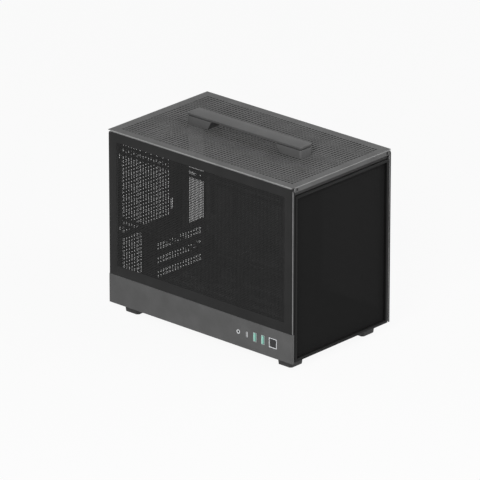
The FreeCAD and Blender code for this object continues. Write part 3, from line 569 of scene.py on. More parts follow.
def ring(u, v, radius, steps=16):
    turns = [2 * math.pi * (step + 0.5) / steps for step in range(steps)]
    return [(u + radius * math.cos(t), v + radius * math.sin(t)) for t in turns]


SLOT_END_STEPS = 6
CORNER_STEPS = 5


def long_hole(u, v, length, width, along=0):
    """A slot with round ends."""
    radius, half = width / 2, (length - width) / 2
    points = []
    for way in (1, -1):
        for step in range(SLOT_END_STEPS + 1):
            angle = math.pi * (step / SLOT_END_STEPS - 0.5) + (0 if way > 0 else math.pi)
            points.append((way * half + radius * math.cos(angle), radius * math.sin(angle)))
    return [(u + a, v + b) if along == 0 else (u - b, v + a) for a, b in points]


def round_corners(u0, u1, v0, v1, radius):
    """A rectangle with round corners."""
    points = []
    for u, v, start in ((u1 - radius, v1 - radius, 0), (u0 + radius, v1 - radius, 90),
                        (u0 + radius, v0 + radius, 180), (u1 - radius, v0 + radius, 270)):
        for step in range(CORNER_STEPS + 1):
            angle = math.radians(start + 90 * step / CORNER_STEPS)
            points.append((u + radius * math.cos(angle), v + radius * math.sin(angle)))
    return points


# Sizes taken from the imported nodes

LEFT = corners("left_panel")
RIGHT = corners("right_panel")
COVER = corners("top_cover")
SKIRT = corners("cover_skirt_left")
FRONT_RIM = corners("cover_front_rim")
REAR_RIM = corners("cover_rear_rim")
BASE = corners("base_pan")
FRONT = corners("front_wall")
REAR = corners("rear_wall")

PANEL_FOLD = 3.3
PANEL_BORDER = 14.0
RIGHT_FIELD_LENGTH = 110.0
CORNER_RELIEF = 0.2


def side_panel(name, node, body, side, field):
    """A perforated panel whose front, rear and top edges fold in, with open upper corners."""
    x0, y0, z0, x1, y1, z1 = corners(node)
    relief = PANEL_FOLD + CORNER_RELIEF
    u0, u1 = unfolded(y0, -1, PANEL_FOLD), unfolded(y1, 1, PANEL_FOLD)
    v1 = unfolded(z1, 1, PANEL_FOLD)
    e = BEND
    outline = [
        (u0, z0), (u1, z0), (u1, z1 - relief), (y1 - e, z1 - relief), (y1 - e, z1 - e),
        (y1 - relief, z1 - e), (y1 - relief, v1), (y0 + relief, v1), (y0 + relief, z1 - e),
        (y0 + e, z1 - e), (y0 + e, z1 - relief), (u0, z1 - relief),
    ]
    bends = [(0, y0, -1), (0, y1, 1), (1, z1, 1)]
    folds = fold_lines(0, y0, -1, z0, z1 - relief) + fold_lines(0, y1, 1, z0, z1 - relief)
    folds += fold_lines(1, z1, 1, y0 + relief, y1 - relief)
    pattern = flat_pattern(outline, fields=[field], folds=folds)
    level = x0 if side < 0 else x1
    shape = Shape().sheet("x", level, -side, pattern, PANEL_SHEET, bends)
    # The inner face takes the lighter back coat, a painted light
    made = shape.piece(name, body, "panel", back=PANEL_BACK_LIT)
    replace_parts(made, node)


side_panel(
    "left_panel_sheet", "left_panel", "left_side", -1,
    Field(LEFT[1] + PANEL_BORDER, LEFT[4] - PANEL_BORDER, LEFT[2] + PANEL_BORDER,
          LEFT[5] - PANEL_BORDER, FINE_PITCH, LEFT_HOLE),
)
side_panel(
    "right_panel_sheet", "right_panel", "right_side", 1,
    Field(RIGHT[1] + PANEL_BORDER, RIGHT[1] + PANEL_BORDER + RIGHT_FIELD_LENGTH,
          RIGHT[2] + PANEL_BORDER, RIGHT[5] - PANEL_BORDER, FINE_PITCH, FINE_HOLE),
)

# The cover: a plate with its front rim folded down, and strips below it. A rim slot's two
# sizes are half its width and half its height.

COVER_FIELD = (-88.5, 88.5, -156.5, 156.5)
RIM_SLOT = (1.75, 2.25)
RIM_SLOT_INSET = 5.0
RIM_SLOT_DROP = 4.0
SKIRT_RADIUS = 5.0
SKIRT_HOLE = 2.5
SKIRT_HOLE_DROP = 10.0
SKIRT_HOLES = (-157.2, 158.9)

top = Shape()
field = Field(*COVER_FIELD, COARSE_PITCH, COVER_HOLE, True)
rim_depth = COVER[5] - FRONT_RIM[2]
v_end = unfolded(COVER[1], -1, rim_depth)
e = BEND
outline = [
    (COVER[0], COVER[1] + e), (FRONT_RIM[0], COVER[1] + e), (FRONT_RIM[0], v_end),
    (FRONT_RIM[3], v_end), (FRONT_RIM[3], COVER[1] + e), (COVER[3], COVER[1] + e),
    (COVER[3], COVER[4]), (COVER[0], COVER[4]),
]
slot_v = unfolded(COVER[1], -1, RIM_SLOT_DROP)
slots = [
    rectangle(x - RIM_SLOT[0], x + RIM_SLOT[0], slot_v - RIM_SLOT[1], slot_v + RIM_SLOT[1])
    for x in (FRONT_RIM[0] + RIM_SLOT_INSET, FRONT_RIM[3] - RIM_SLOT_INSET)
]
pattern = flat_pattern(
    outline, slots, [field], fold_lines(1, COVER[1], -1, FRONT_RIM[0], FRONT_RIM[3])
)
top.sheet("z", COVER[5], -1, pattern, bends=[(1, COVER[1], -1)])
for side in (-1, 1):
    y0, y1, z0, z1 = SKIRT[1], SKIRT[4], SKIRT[2], SKIRT[5]
    lower = [p for p in round_corners(y0, y1, z0, z1 + 2 * SKIRT_RADIUS, SKIRT_RADIUS) if p[1] < z1]
    outline = lower + [(y1, z1), (y0, z1)]
    holes = [ring(y, COVER[5] - SKIRT_HOLE_DROP, SKIRT_HOLE) for y in SKIRT_HOLES]
    level = SKIRT[0] if side < 0 else -SKIRT[0]
    top.sheet("x", level, -side, flat_pattern(outline, holes))
top.box(*REAR_RIM[0::3], *REAR_RIM[1::3], *REAR_RIM[2::3])
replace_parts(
    top.piece("top_cover_sheet", "cover", "steel", SHEET_COAT),
    "top_cover", "cover_skirt_left", "cover_skirt_right", "cover_front_rim", "cover_rear_rim",
)

# The base: floor with its front rim folded up, side rims, ledges and the plates over the feet

FLOOR_UNDER = 18.6
FLOOR_TOP = FLOOR_UNDER + SHEET
FRAME_INNER = 97.8
LEDGE = 5.0
SIDE_RIM = (-150.7, 152.4)
FRONT_RIM_HEIGHT = 9.0
FOOT_PLATE = (33.0, 40.0)
FOOT_SCREW_HOLE = 1.7
FLOOR_FIELDS_X = ((-90.0, 48.0), (57.0, 80.5))
FLOOR_FIELDS_Y = (-151.0, 153.0)

floor = Shape()
fields = [Field(*xs, *FLOOR_FIELDS_Y, COARSE_PITCH, ROUND_HOLE, True) for xs in FLOOR_FIELDS_X]
v_end = unfolded(BASE[1], -1, FRONT_RIM_HEIGHT)
outline = [
    (-FRAME_INNER, v_end), (FRAME_INNER, v_end), (FRAME_INNER, BASE[4]), (-FRAME_INNER, BASE[4]),
]
pattern = flat_pattern(
    outline, [], fields, fold_lines(1, BASE[1], -1, -FRAME_INNER, FRAME_INNER)
)
floor.sheet("z", FLOOR_UNDER, 1, pattern, bends=[(1, BASE[1], -1)])
for side in (-1, 1):
    x0, x1 = sorted((side * FRAME_INNER, side * BASE[3]))
    floor.box(x0, x1, *SIDE_RIM, BASE[2], BASE[5])
    ledge = sorted((side * FRAME_INNER, side * (FRAME_INNER - LEDGE)))
    floor.box(*ledge, *SIDE_RIM, BASE[2], BASE[2] + SHEET)
    for name in ("front", "rear"):
        foot = corners("foot_" + name + ("_left" if side < 0 else "_right"))
        middle = ((foot[0] + foot[3]) / 2, (foot[1] + foot[4]) / 2)
        inward = side * (FRAME_INNER - FOOT_PLATE[1])
        u0, u1 = sorted((side * (FRAME_INNER - LEDGE), inward))
        v0, v1 = middle[1] - FOOT_PLATE[0] / 2, middle[1] + FOOT_PLATE[0] / 2
        plate = flat_pattern(rectangle(u0, u1, v0, v1), [ring(*middle, FOOT_SCREW_HOLE)])
        floor.sheet("z", BASE[2], 1, plate)
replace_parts(floor.piece("base_sheet", "chassis", "steel", SHEET_COAT), "base_pan")

# The front and rear walls, each folded back along both sides. Heights and holes are in
# millimetres: a slot is (height, length, width) or (x, height, length, width).

WALL_FOLD = 13.0
FOLD_HOLE_DEPTH = 6.5
STUD_HOLE = 2.8
STUD_HEIGHTS = {-1: (80.0, 225.0), 1: (45.0, 225.0)}
BAR_HOLE = 1.6
FRONT_FOLD_SLOT = (207.5, 21.0, 5.0)
FRONT_FOLD_HOLE = 2.2
FRONT_FOLD_HOLES = (59.5, 234.0)
bar_heights = [sum(corners(name)[2::3]) / 2 for name in ("fan_bar_upper", "fan_bar_lower")]


def folded_holes(u, side, front):
    """Holes in a wall's folded edge, along the middle of the fold."""
    at = unfolded(u, side, FOLD_HOLE_DEPTH)
    holes = [ring(at, z, STUD_HOLE, 12) for z in STUD_HEIGHTS[side]]
    holes.append(ring(at, COVER[5] - SKIRT_HOLE_DROP, SKIRT_HOLE, 12))
    if side < 0:
        holes += [ring(at, z, BAR_HOLE, 12) for z in bar_heights]
        if front:
            height, length, width = FRONT_FOLD_SLOT
            holes.append(long_hole(at, height, length, width, 1))
            holes += [ring(at, z, FRONT_FOLD_HOLE) for z in FRONT_FOLD_HOLES]
    return holes


def wall(shape, box, level, way, holes, fields, front, notch=None):
    """A wall with both sides folded back. The notch is (left, right, depth) in the upper edge."""
    x0, x1, z0, z1 = box[0], box[3], box[2], box[5]
    u0, u1 = unfolded(x0, -1, WALL_FOLD), unfolded(x1, 1, WALL_FOLD)
    folds = fold_lines(0, x0, -1, z0, z1) + fold_lines(0, x1, 1, z0, z1)
    for u, side in ((x0, -1), (x1, 1)):
        holes = holes + folded_holes(u, side, front)
    outline = rectangle(u0, u1, z0, z1)
    if notch:
        left, right, deep = notch
        outline[3:3] = [(right, z1), (right, z1 - deep), (left, z1 - deep), (left, z1)]
    pattern = flat_pattern(outline, holes, fields, folds)
    return shape.sheet("y", level, way, pattern, bends=[(0, x0, -1), (0, x1, 1)])


FRONT_FIELD = (-85.0, 88.0, 29.0, 251.5)
PRONG_HOLE = (1.8, 4.8)
PRONG_HOLES = [(x, z) for x in (-91.1, 91.1) for z in (68.0, 199.0)]
TABS = (-60.0, 60.0)
TAB_HALF = 10
TAB_REACH = 12.0
TAB_HEIGHT = 261.2

half, tall = PRONG_HOLE
holes = [rectangle(x - half, x + half, z - tall, z + tall) for x, z in PRONG_HOLES]
fields = [Field(*FRONT_FIELD, COARSE_PITCH, SQUARE_HOLE)]
front = wall(Shape(), FRONT, FRONT[1], 1, holes, fields, True)
for x in TABS:
    front.box(
        x - TAB_HALF, x + TAB_HALF, FRONT[1] + SHEET, FRONT[1] + TAB_REACH,
        TAB_HEIGHT, TAB_HEIGHT + SHEET,
    )
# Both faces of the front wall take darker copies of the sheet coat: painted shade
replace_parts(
    front.piece("front_wall_sheet", "chassis", "steel", FRONT_SHADED_COAT, back=INNER_SHADED_COAT), "front_wall"
)

REAR_OUTER = 165.4
SHIELD = (44.75, 89.2, 84.0, 242.75)
SLOT_WINDOW = (-10.9, 85.1)
SLOT_WINDOW_HALF = 6.3
SLOT_SCREW_X = -15.4
SLOT_SCREW_HOLE = 1.6
FAN_X = (-81.5, 23.5)
FAN_Z = (124.0, 229.0)
FAN_SLOT = (18.0, 4.4)
REAR_SLOT = (32.7, 213.3, 11.0, 3.0)
# Vent fields of the rear wall: columns, with a little room for rounding, and heights from and to
REAR_FIELDS_LEFT = -77.2
REAR_FIELDS = ((17.01, 108.0, 250.0), (7.01, 33.0, 101.5))
NOTCH = (72.0, 79.0, 9.0)
slot_heights = [sum(corners("slot_cover_" + str(n))[2::3]) / 2 for n in (1, 2, 3)]
holes = [rectangle(*SHIELD)]
for z in slot_heights:
    holes.append(rectangle(*SLOT_WINDOW, z - SLOT_WINDOW_HALF, z + SLOT_WINDOW_HALF))
    holes.append(ring(SLOT_SCREW_X, z, SLOT_SCREW_HOLE, 12))
for x in FAN_X:
    holes += [long_hole(x, z, *FAN_SLOT, 1) for z in FAN_Z]
holes.append(long_hole(*REAR_SLOT, 1))
left = REAR_FIELDS_LEFT
fields = [
    Field(left, left + columns * COARSE_PITCH, low, high, COARSE_PITCH, SQUARE_HOLE)
    for columns, low, high in REAR_FIELDS
]
rear = wall(Shape(), REAR, REAR_OUTER, -1, holes, fields, False, NOTCH)
BEAM = (94.8, 152.4, 164.4)
LIP = 7.0
v_end = unfolded(BEAM[1], -1, LIP)
for x0, x1 in ((-BEAM[0], NOTCH[0]), (NOTCH[1], BEAM[0])):
    pattern = flat_pattern(
        rectangle(x0, x1, v_end, BEAM[2]), folds=fold_lines(1, BEAM[1], -1, x0, x1)
    )
    rear.sheet("z", REAR[5], -1, pattern, bends=[(1, BEAM[1], -1)])
rear.box(SHIELD[0] - SHEET, SHIELD[0], BEAM[1], BEAM[2], SHIELD[2], SHIELD[3], cut=(2,))
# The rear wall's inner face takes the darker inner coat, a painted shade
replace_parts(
    rear.piece("rear_wall_sheet", "chassis", "steel", SHEET_COAT, back=INNER_SHADED_COAT), "rear_wall"
)

SLOT_VENTS_INSET = 2
SLOT_VENTS_HALF = 5.7
SLOT_COVER_RADIUS = 0.8

for number, z in enumerate(slot_heights, 1):
    node = "slot_cover_" + str(number)
    x0, y0, z0, x1, y1, z1 = corners(node)
    vents = Field(
        SLOT_WINDOW[0] + SLOT_VENTS_INSET, SLOT_WINDOW[1] - SLOT_VENTS_INSET,
        z - SLOT_VENTS_HALF, z + SLOT_VENTS_HALF, COARSE_PITCH, SQUARE_HOLE,
    )
    outline = round_corners(x0, x1, z0, z1, SLOT_COVER_RADIUS)
    pattern = flat_pattern(outline, [ring(SLOT_SCREW_X, z, SLOT_SCREW_HOLE)], [vents])
    cover = Shape().sheet("y", y0, 1, pattern)
    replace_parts(cover.piece(node + "_sheet", "chassis", "steel", SHEET_COAT), node)


def solids(node):
    """The box of each separate solid of a node, in millimetres."""
    mesh = frame["nodes"][node].data
    place, names = {}, []
    for v in mesh.vertices:
        names.append(place.setdefault(tuple(round(c / MM, 2) for c in v.co), len(place)))
    parent = list(range(len(place)))

    def find(i):
        while parent[i] != i:
            i = parent[i]
        return i

    for edge in mesh.edges:
        a, b = (find(names[i]) for i in edge.vertices)
        parent[a] = b
    groups = {}
    for point, i in place.items():
        groups.setdefault(find(i), []).append(point)
    return [(np.min(g, axis=0), np.max(g, axis=0)) for g in groups.values()]


# The board's tray, folded to the rear wall and along its lower edge, with a bead pressed in.
# The bead's four heights are its lower edge, its raised band from and to, and its upper edge.

TRAY = corners("board_tray")
TRAY_WINDOW = (18.0, 111.0, 95.0, 231.7)
TRAY_WINDOW_RADIUS = 4.0
TRAY_SCREW_HOLE = 1.7
BEAD = (78.0, 79.6, 92.0, 94.7)
BEAD_HEIGHT = 1.5
BEAD_MARGIN = 0.01
WINDOW_FLANGE = 5.5


def pressed(pattern, placed):
    """Raises the tray's bead out of a placed sheet, along x."""
    u, v = (np.concatenate([pattern[0][:, axis]] * 2) for axis in (0, 1))
    raised = (v > BEAD[1] - BEAD_MARGIN) & (v < BEAD[2] + BEAD_MARGIN)
    placed[:, 0] -= BEAD_HEIGHT * (raised & (u < TRAY[4] - BEND))
    return placed


def board_tray():
    x0, y0, z0, x1, y1, z1 = TRAY
    depth = x1 - x0
    low, far = unfolded(z0, -1, depth), unfolded(y1, 1, depth)
    e, relief = BEND, BEND + 1.0
    outline = [
        (y0, low), (y1 - relief, low), (y1 - relief, z0 + e), (y1 - e, z0 + e),
        (y1 - e, z0 + relief), (far, z0 + relief), (far, z1), (y0, z1),
    ]
    holes = [round_corners(*TRAY_WINDOW, TRAY_WINDOW_RADIUS)]
    for bottom, top in solids("board_standoffs"):
        middle = (bottom + top) / 2
        holes.append(ring(middle[1], middle[2], TRAY_SCREW_HOLE, 12))
    folds = fold_lines(0, y1, 1, z0 + relief, z1) + fold_lines(1, z0, -1, y0, y1 - relief)
    folds += [((y0, z), (y1 - 2 * e, z)) for z in BEAD]
    pattern = flat_pattern(outline, holes, folds=folds)
    placed, faces, slots = stack(pattern, SHEET, [(0, y1, 1), (1, z0, -1)])
    shape = Shape().put(pressed(pattern, placed_on("x", x0, 1, placed)), faces, slots)
    edge = TRAY_WINDOW[1]
    shape.box(
        x0 + SHEET, x0 + WINDOW_FLANGE, edge - SHEET, edge,
        TRAY_WINDOW[2] + TRAY_WINDOW_RADIUS, TRAY_WINDOW[3] - TRAY_WINDOW_RADIUS,
    )
    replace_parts(shape.piece("board_tray_sheet", "chassis", "steel", SHEET_COAT), "board_tray")


board_tray()


# Filter cloths, stretched in their frames

NET_CELL = 4.0
NET_SAG = 0.08


def cloth(name, body, finish=None):
    """A net stretched between the sides of its frame, with a shallow sag in the middle."""
    x0, y0, z0, x1, y1, z1 = corners(name + "_cloth")
    upright = y1 - y0 < z1 - z0
    length = z1 - z0 if upright else y1 - y0
    across, along = int((x1 - x0) / NET_CELL), int(length / NET_CELL)
    points, faces = [], []
    for row in range(along + 1):
        for column in range(across + 1):
            a, b = column / across, row / along
            sag = NET_SAG * math.sin(math.pi * a) * math.sin(math.pi * b)
            x = x0 + a * (x1 - x0)
            if upright:
                points.append((x, (y0 + y1) / 2 + sag, z0 + b * length))
            else:
                points.append((x, y0 + b * length, (z0 + z1) / 2 - sag))
    for row in range(along):
        for column in range(across):
            a = row * (across + 1) + column
            faces.append((a, a + 1, a + across + 2, a + across + 1))
    shape = Shape().put(points, faces)
    made = shape.piece(name + "_net", body, "filter_cloth", finish)
    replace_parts(made, name + "_cloth")


for name in ("top_filter", "bottom_filter"):
    cloth(name, name)
# The front filter's net takes the darker copy, a painted shade
cloth("front_filter", "front_filter", FRONT_NET_SHADED)

# Screws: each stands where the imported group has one

HEAD_RADIUS = 2.9
SHANK_RADIUS = 1.45
HEAD_HEIGHT = 2.2
HEX_STEPS = 24
RECESS_ROW = 7


def hexagonal(step, row):
    """Turns a round recess into a six-sided one."""
    if row < RECESS_ROW:
        return 1.0
    angle = math.radians(360 * step / HEX_STEPS)
    sector = math.radians(60)
    return math.cos(sector / 2) / math.cos(angle % sector - sector / 2)


def screws(node, name, body, axis, way, seat):
    """Button-head screws. The seat is where the head's underside lies along the axis."""
    shape = Shape()
    direction = [0, 0, 0]
    direction[axis] = -way
    for low, high in solids(node):
        place = (low + high) / 2
        place[axis] = seat
        length = abs((high if way > 0 else low)[axis] - seat)
        profile = [
            (SHANK_RADIUS * 0.8, -length), (SHANK_RADIUS, -length + 0.4), (SHANK_RADIUS, 0),
            (HEAD_RADIUS, 0), (HEAD_RADIUS, 1.0), (HEAD_RADIUS * 0.88, 1.7),
            (HEAD_RADIUS * 0.62, HEAD_HEIGHT), (1.35, HEAD_HEIGHT), (1.3, 0.9),
        ]
        shape.turned(profile, place, direction, HEX_STEPS, hexagonal)
    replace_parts(shape.piece(name, body, "screw", sharp=30.0), node)


screws("fan_bar_screws", "fan_bar_screw_heads", "chassis", 0, -1, -FRAME_INNER + SHEET)
screws("card_support_screws", "card_support_screw_heads", "chassis", 2, -1, FLOOR_TOP + SHEET)

THUMB_RADIUS = 4.2
KNURLS = 36
KNURL_DEPTH = 0.045
KNURLED_ROWS = range(2, 6)


def knurled(step, row):
    """Sinks every second step of the grip."""
    return 1.0 - KNURL_DEPTH if step % 2 and row in KNURLED_ROWS else 1.0


thumbs = Shape()
for low, high in solids("slot_thumb_screws"):
    place = (low + high) / 2
    place[1] = REAR_OUTER
    tall = high[1] - REAR_OUTER
    profile = [
        (1.4, low[1] - REAR_OUTER), (1.45, 0), (THUMB_RADIUS * 0.93, 0), (THUMB_RADIUS, 0.3),
        (THUMB_RADIUS, tall - 0.5), (THUMB_RADIUS * 0.9, tall - 0.05), (2.2, tall), (2.0, tall - 0.7),
    ]
    thumbs.turned(profile, place, (0, 1, 0), KNURLS * 2, knurled)
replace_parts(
    thumbs.piece("slot_thumb_screw_heads", "chassis", "screw", sharp=25.0), "slot_thumb_screws"
)

# Painted shade along the rear of the tray: a black channel and a narrow black strip in the corner
# that stand for shadow, each (from, to, depth) along y and x

SHADE_STRIPS = ((144.0, 151.5, 0.9), (160.8, 164.2, 0.6))
SHADE_STRIP_HEIGHTS = (TRAY[2] + 20.0, TRAY[5] - 1.0)
SHADE_STRIP_WEB = 0.3
SHADE_STRIP_LIP = 0.6

tray_shade = Shape()
for y0, y1, depth in SHADE_STRIPS:
    tray_shade.box(TRAY[0] - SHADE_STRIP_WEB, TRAY[0], y0, y1, *SHADE_STRIP_HEIGHTS)
    for y in (y0, y1 - SHADE_STRIP_LIP):
        tray_shade.box(TRAY[0] - depth, TRAY[0], y, y + SHADE_STRIP_LIP, *SHADE_STRIP_HEIGHTS)
tray_shade.piece("tray_painted_shade", "chassis", "filter_frame", BLACK)

# The handle's blocks: rounded and sloped, with the neck under the strap filled in black, a painted
# shade for the gap's shadow

BLOCK_RADIUS = 3.5
FINGER_SLOPE = 6.0
NECK_HEIGHT = 1.5
NECK_INSET = 2.0
BLOCK_CHAMFER = 0.7
CORNER_TURN = 15


def footprint(tip, heel, half, inset=0.0):
    """Across and along a block: round corners at the tip, square ones at the heel."""
    way = 1 if tip > heel else -1
    tip, heel, half = tip - way * inset, heel + way * inset, half - inset
    radius = BLOCK_RADIUS - inset
    points = [(-half, heel), (half, heel)]
    for side in (1, -1):
        for angle in range(0, 91, CORNER_TURN):
            turn = math.radians(angle if side > 0 else 90 - angle)
            reach = tip - way * radius * (1 - math.sin(turn))
            points.append((side * (half - radius * (1 - math.cos(turn))), reach))
    return points


def handle_block(node, outward):
    """An end block of the handle. Outward is the way along y from the handle's middle."""
    x0, y0, z0, x1, y1, z1 = corners(node)
    tip, heel = (y0, y1) if outward < 0 else (y1, y0)
    top = z1 - NECK_HEIGHT
    levels = [
        (z0, heel + outward * FINGER_SLOPE, 0.0), (top - BLOCK_CHAMFER, heel, 0.0),
        (top - BLOCK_CHAMFER * 0.3, heel, BLOCK_CHAMFER * 0.3), (top, heel, BLOCK_CHAMFER),
    ]
    points, faces = [], []
    for z, end, inset in levels:
        points += [(x, y, z) for x, y in footprint(tip, end, x1, inset)]
    count = len(points) // len(levels)
    for level in range(len(levels) - 1):
        for i in range(count):
            a, b = level * count + i, level * count + (i + 1) % count
            faces.append((a, b, b + count, a + count))
    faces += [tuple(range(count))[::-1], tuple(range(len(points) - count, len(points)))]
    block = Shape().put(points, faces).piece(node + "_grip", "cover", "grip", sharp=50.0)
    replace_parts(block, node)
    # A black box in the neck under the strap: painted shade
    neck_shade = Shape().box(
        x0 + NECK_INSET, x1 - NECK_INSET, y0 + NECK_INSET, y1 - NECK_INSET, top - 0.5, z1 - 0.01
    )
    neck_shade.piece(node + "_neck_painted_shade", "cover", "grip", BLACK)


handle_block("handle_block_front", -1)
handle_block("handle_block_rear", 1)

# The button's thin bright ring round a dark well

BEZEL = corners("button_bezel")
BUTTON = corners("power_button")
BEZEL_EDGE = 1.0
RING_WIDTH = 1.0
RING_RADIUS = 0.5
WELL_RADIUS = 0.4
WELL_DEPTH = 0.9
BUTTON_FLANGE = 1.0
BUTTON_ROOM = 0.15


def inset_corners(box, by, radius):
    """The outline along y and z of a node's box, inset, with round corners."""
    return round_corners(box[1] + by, box[4] - by, box[2] + by, box[5] - by, radius)


def plain_plate(level, thickness, outline, hole):
    """A small plate across x with one hole, in one material all over."""
    plate = Shape().sheet("x", level, 1, flat_pattern(outline, [hole]), thickness)
    plate.slots = [0] * len(plate.slots)
    return plate


mouth = inset_corners(BEZEL, BEZEL_EDGE + RING_WIDTH, WELL_RADIUS)
bezel = plain_plate(
    BEZEL[0], BEZEL[3] - BEZEL[0], inset_corners(BEZEL, BEZEL_EDGE, RING_RADIUS), mouth
)
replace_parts(bezel.piece("button_ring", "chassis", "bezel"), "button_bezel")
well = plain_plate(
    BEZEL[0] + WELL_DEPTH, BEZEL[3] - BEZEL[0] - WELL_DEPTH, mouth,
    inset_corners(BUTTON, BUTTON_FLANGE - BUTTON_ROOM, WELL_RADIUS),
)
well.piece("button_well", "chassis", "button", BLACK)

# A thin black layer on the socket strip's shelf, and a small catch plate on the front wall's fold

STRIP = corners("io_strip")
SHELF_LAYER = 0.3
SHELF_LAYER_X = (STRIP[0] + 1.3, STRIP[3] - 0.1)
SHELF_LAYER_Y = (SIDE_RIM[0] + 1.0, SIDE_RIM[1] - 1.0)
shelf_layer = Shape().box(*SHELF_LAYER_X, *SHELF_LAYER_Y, STRIP[5], STRIP[5] + SHELF_LAYER)
shelf_layer.piece("strip_shelf_black", "chassis", "filter_frame", BLACK)

CATCH_Y, CATCH_Z = -156.5, 63.0
CATCH_HALF = (2.6, 3.4)
CATCH_HOLE = 1.3
CATCH_PROUD, CATCH_THICKNESS = 0.2, 0.25
outline = rectangle(
    CATCH_Y - CATCH_HALF[0], CATCH_Y + CATCH_HALF[0], CATCH_Z - CATCH_HALF[1], CATCH_Z + CATCH_HALF[1]
)
catch = plain_plate(
    FRONT[0] - CATCH_PROUD, CATCH_THICKNESS, outline, ring(CATCH_Y, CATCH_Z, CATCH_HOLE, 12)
)
catch.piece("front_catch_plate", "chassis", "bezel", CATCH_METAL)

# The inside of the round socket, and a pale fill in the small flat one, a painted light

JACK = corners("audio_jack")
JACK_RECESS = 0.3
jack_middle = (JACK[0] + JACK_RECESS, (JACK[1] + JACK[4]) / 2, (JACK[2] + JACK[5]) / 2)
lining = [(1.2, 6.0), (1.2, 0.0), (1.72, 0.0), (1.72, 7.0), (0.3, 7.0), (0.3, 6.0)]
jack = Shape().turned(lining, jack_middle, (1, 0, 0), 24)
jack.piece("audio_jack_lining", "chassis", "button", BLACK)

TONGUE = corners("usb_c_tongue")
# A pale box over the flat socket's tongue that fills its mouth: painted light where the socket's
# inside is in shade
PALE_FILL_MORE = (0.4, 0.6)
pale_fill = Shape().box(
    TONGUE[0], TONGUE[3], TONGUE[1] - PALE_FILL_MORE[0], TONGUE[4] + PALE_FILL_MORE[0],
    TONGUE[2] - PALE_FILL_MORE[1], TONGUE[5] + PALE_FILL_MORE[1],
)
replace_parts(pale_fill.piece("usb_c_pale_fill", "chassis", "shell"), "usb_c_tongue")

# Rounded edges on the solid pieces

WELD_DISTANCE = 0.00001
ROUND_SEGMENTS = 2
EDGE_ANGLE = 35.0


def soften(node, width):
    made = frame["nodes"][node]
    weld = made.modifiers.new("weld", "WELD")
    weld.merge_threshold = WELD_DISTANCE
    bevel = made.modifiers.new("bevel", "BEVEL")
    bevel.width = width * MM
    bevel.segments = ROUND_SEGMENTS
    bevel.limit_method = "ANGLE"
    bevel.angle_limit = math.radians(EDGE_ANGLE)
    bevel.harden_normals = False
    made.data.shade_smooth()


STRAP_EDGE = 0.5
FOOT_EDGE = 0.7
BUTTON_EDGE = 0.25
FILTER_EDGE = 0.35
soften("handle_strap", STRAP_EDGE)
for corner in ("front_left", "front_right", "rear_left", "rear_right"):
    soften("foot_" + corner, FOOT_EDGE)
soften("power_button", BUTTON_EDGE)
for place in ("top", "bottom", "front"):
    soften(place + "_filter_frame", FILTER_EDGE)

# The floor and the light


def white_to_camera(tree, plain, output, share=1.0, kind="ShaderNodeBackground"):
    """The camera, mirrors and glass see a share of white over what other rays see."""
    light = tree.nodes.new("ShaderNodeLightPath")
    first = tree.nodes.new("ShaderNodeMath")
    second = tree.nodes.new("ShaderNodeMath")
    first.operation = second.operation = "MAXIMUM"
    tree.links.new(light.outputs["Is Camera Ray"], first.inputs[0])
    tree.links.new(light.outputs["Is Glossy Ray"], first.inputs[1])
    tree.links.new(first.outputs[0], second.inputs[0])
    tree.links.new(light.outputs["Is Transmission Ray"], second.inputs[1])
    part = tree.nodes.new("ShaderNodeMath")
    part.operation = "MULTIPLY"
    part.inputs[1].default_value = share
    tree.links.new(second.outputs[0], part.inputs[0])
    white = tree.nodes.new(kind)
    white.inputs["Strength"].default_value = 1.0
    mix = tree.nodes.new("ShaderNodeMixShader")
    tree.links.new(part.outputs[0], mix.inputs["Fac"])
    tree.links.new(plain, mix.inputs[1])
    tree.links.new(white.outputs[0], mix.inputs[2])
    tree.links.new(mix.outputs["Shader"], output)
    return white


WORLD_LIGHT = 0.1
FLOOR_TONE = 0.45
FLOOR_ROUGHNESS = 0.9
FLOOR_WHITE = 0.93
FLOOR_HALF = 12.0

world = bpy.data.worlds.new("studio")
world.use_nodes = True
bpy.context.scene.world = world
tree = world.node_tree
soft = tree.nodes["Background"]
soft.inputs["Color"].default_value = (1.0, 1.0, 1.0, 1.0)
soft.inputs["Strength"].default_value = WORLD_LIGHT
white_to_camera(tree, soft.outputs["Background"], tree.nodes["World Output"].inputs["Surface"])

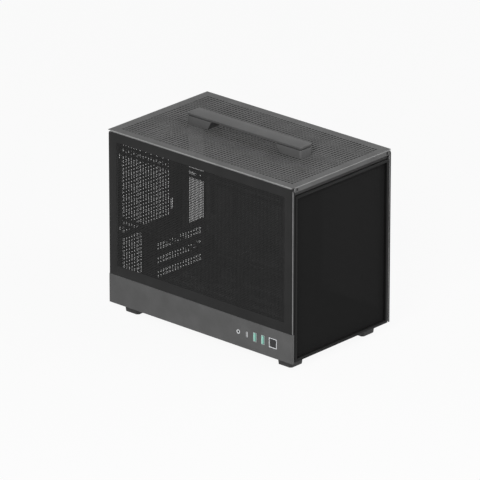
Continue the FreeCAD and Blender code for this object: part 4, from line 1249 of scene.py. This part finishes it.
mesh = bpy.data.meshes.new("floor")
spread = rectangle(-FLOOR_HALF, FLOOR_HALF, -FLOOR_HALF, FLOOR_HALF)
mesh.from_pydata([(x, y, 0) for x, y in spread], [], [(0, 1, 2, 3)])
ground = bpy.data.objects.new("floor", mesh)
bpy.context.scene.collection.objects.link(ground)
made, tree, shader = new_material("floor_paper", (FLOOR_TONE,) * 3, FLOOR_ROUGHNESS)
shader.inputs["Specular IOR Level"].default_value = 0.0
output = tree.nodes["Material Output"].inputs["Surface"]
white_to_camera(tree, shader.outputs["BSDF"], output, FLOOR_WHITE, "ShaderNodeEmission")
mesh.materials.append(made)


# Lamps: name, place, size and power. All aim at the middle of the case.

LAMP_AIM = Vector((0.0, 0.0, 0.15))
LAMPS = (
    ("key", (-1.65, -0.95, 1.3), (1.1, 1.0), 52.0),
    ("fill", (0.6, -1.6, 1.35), (1.0, 1.0), 21.0),
    ("back", (-0.6, 2.6, 1.6), (1.4, 1.0), 22.0),
    ("side", (2.7, -0.5, 1.5), (1.4, 1.0), 22.0),
)


def lamp(name, place, size, power):
    light = bpy.data.lights.new(name, "AREA")
    light.shape = "RECTANGLE"
    light.size, light.size_y = size
    light.energy = power
    made = bpy.data.objects.new(name, light)
    bpy.context.scene.collection.objects.link(made)
    made.location = place
    direction = LAMP_AIM - Vector(place)
    made.rotation_euler = direction.to_track_quat("-Z", "Y").to_euler()


for name, place, size, power in LAMPS:
    lamp(name, place, size, power)

# The camera

azimuth, elevation = math.radians(CAMERA_AZIMUTH), math.radians(CAMERA_ELEVATION)
level = math.cos(elevation)
forward = Vector((math.sin(azimuth) * level, math.cos(azimuth) * level, -math.sin(elevation)))
right = Vector((math.cos(azimuth), -math.sin(azimuth), 0.0))
up = right.cross(forward)
camera = bpy.data.cameras.new("camera")
camera.sensor_width = SENSOR_WIDTH
camera.lens = FOCAL_PIXELS / PICTURE_PIXELS * SENSOR_WIDTH
camera.clip_end = FARTHEST_SEEN
viewer = bpy.data.objects.new("camera", camera)
bpy.context.scene.collection.objects.link(viewer)
place = Vector(CAMERA_AIM) - forward * CAMERA_DISTANCE + right * CAMERA_SIDE + up * CAMERA_RISE
turn = Matrix((right, up, -forward)).transposed()
viewer.matrix_world = Matrix.Translation(place * MM) @ turn.to_4x4()
bpy.context.scene.camera = viewer
bpy.context.scene.view_settings.view_transform = "Standard"
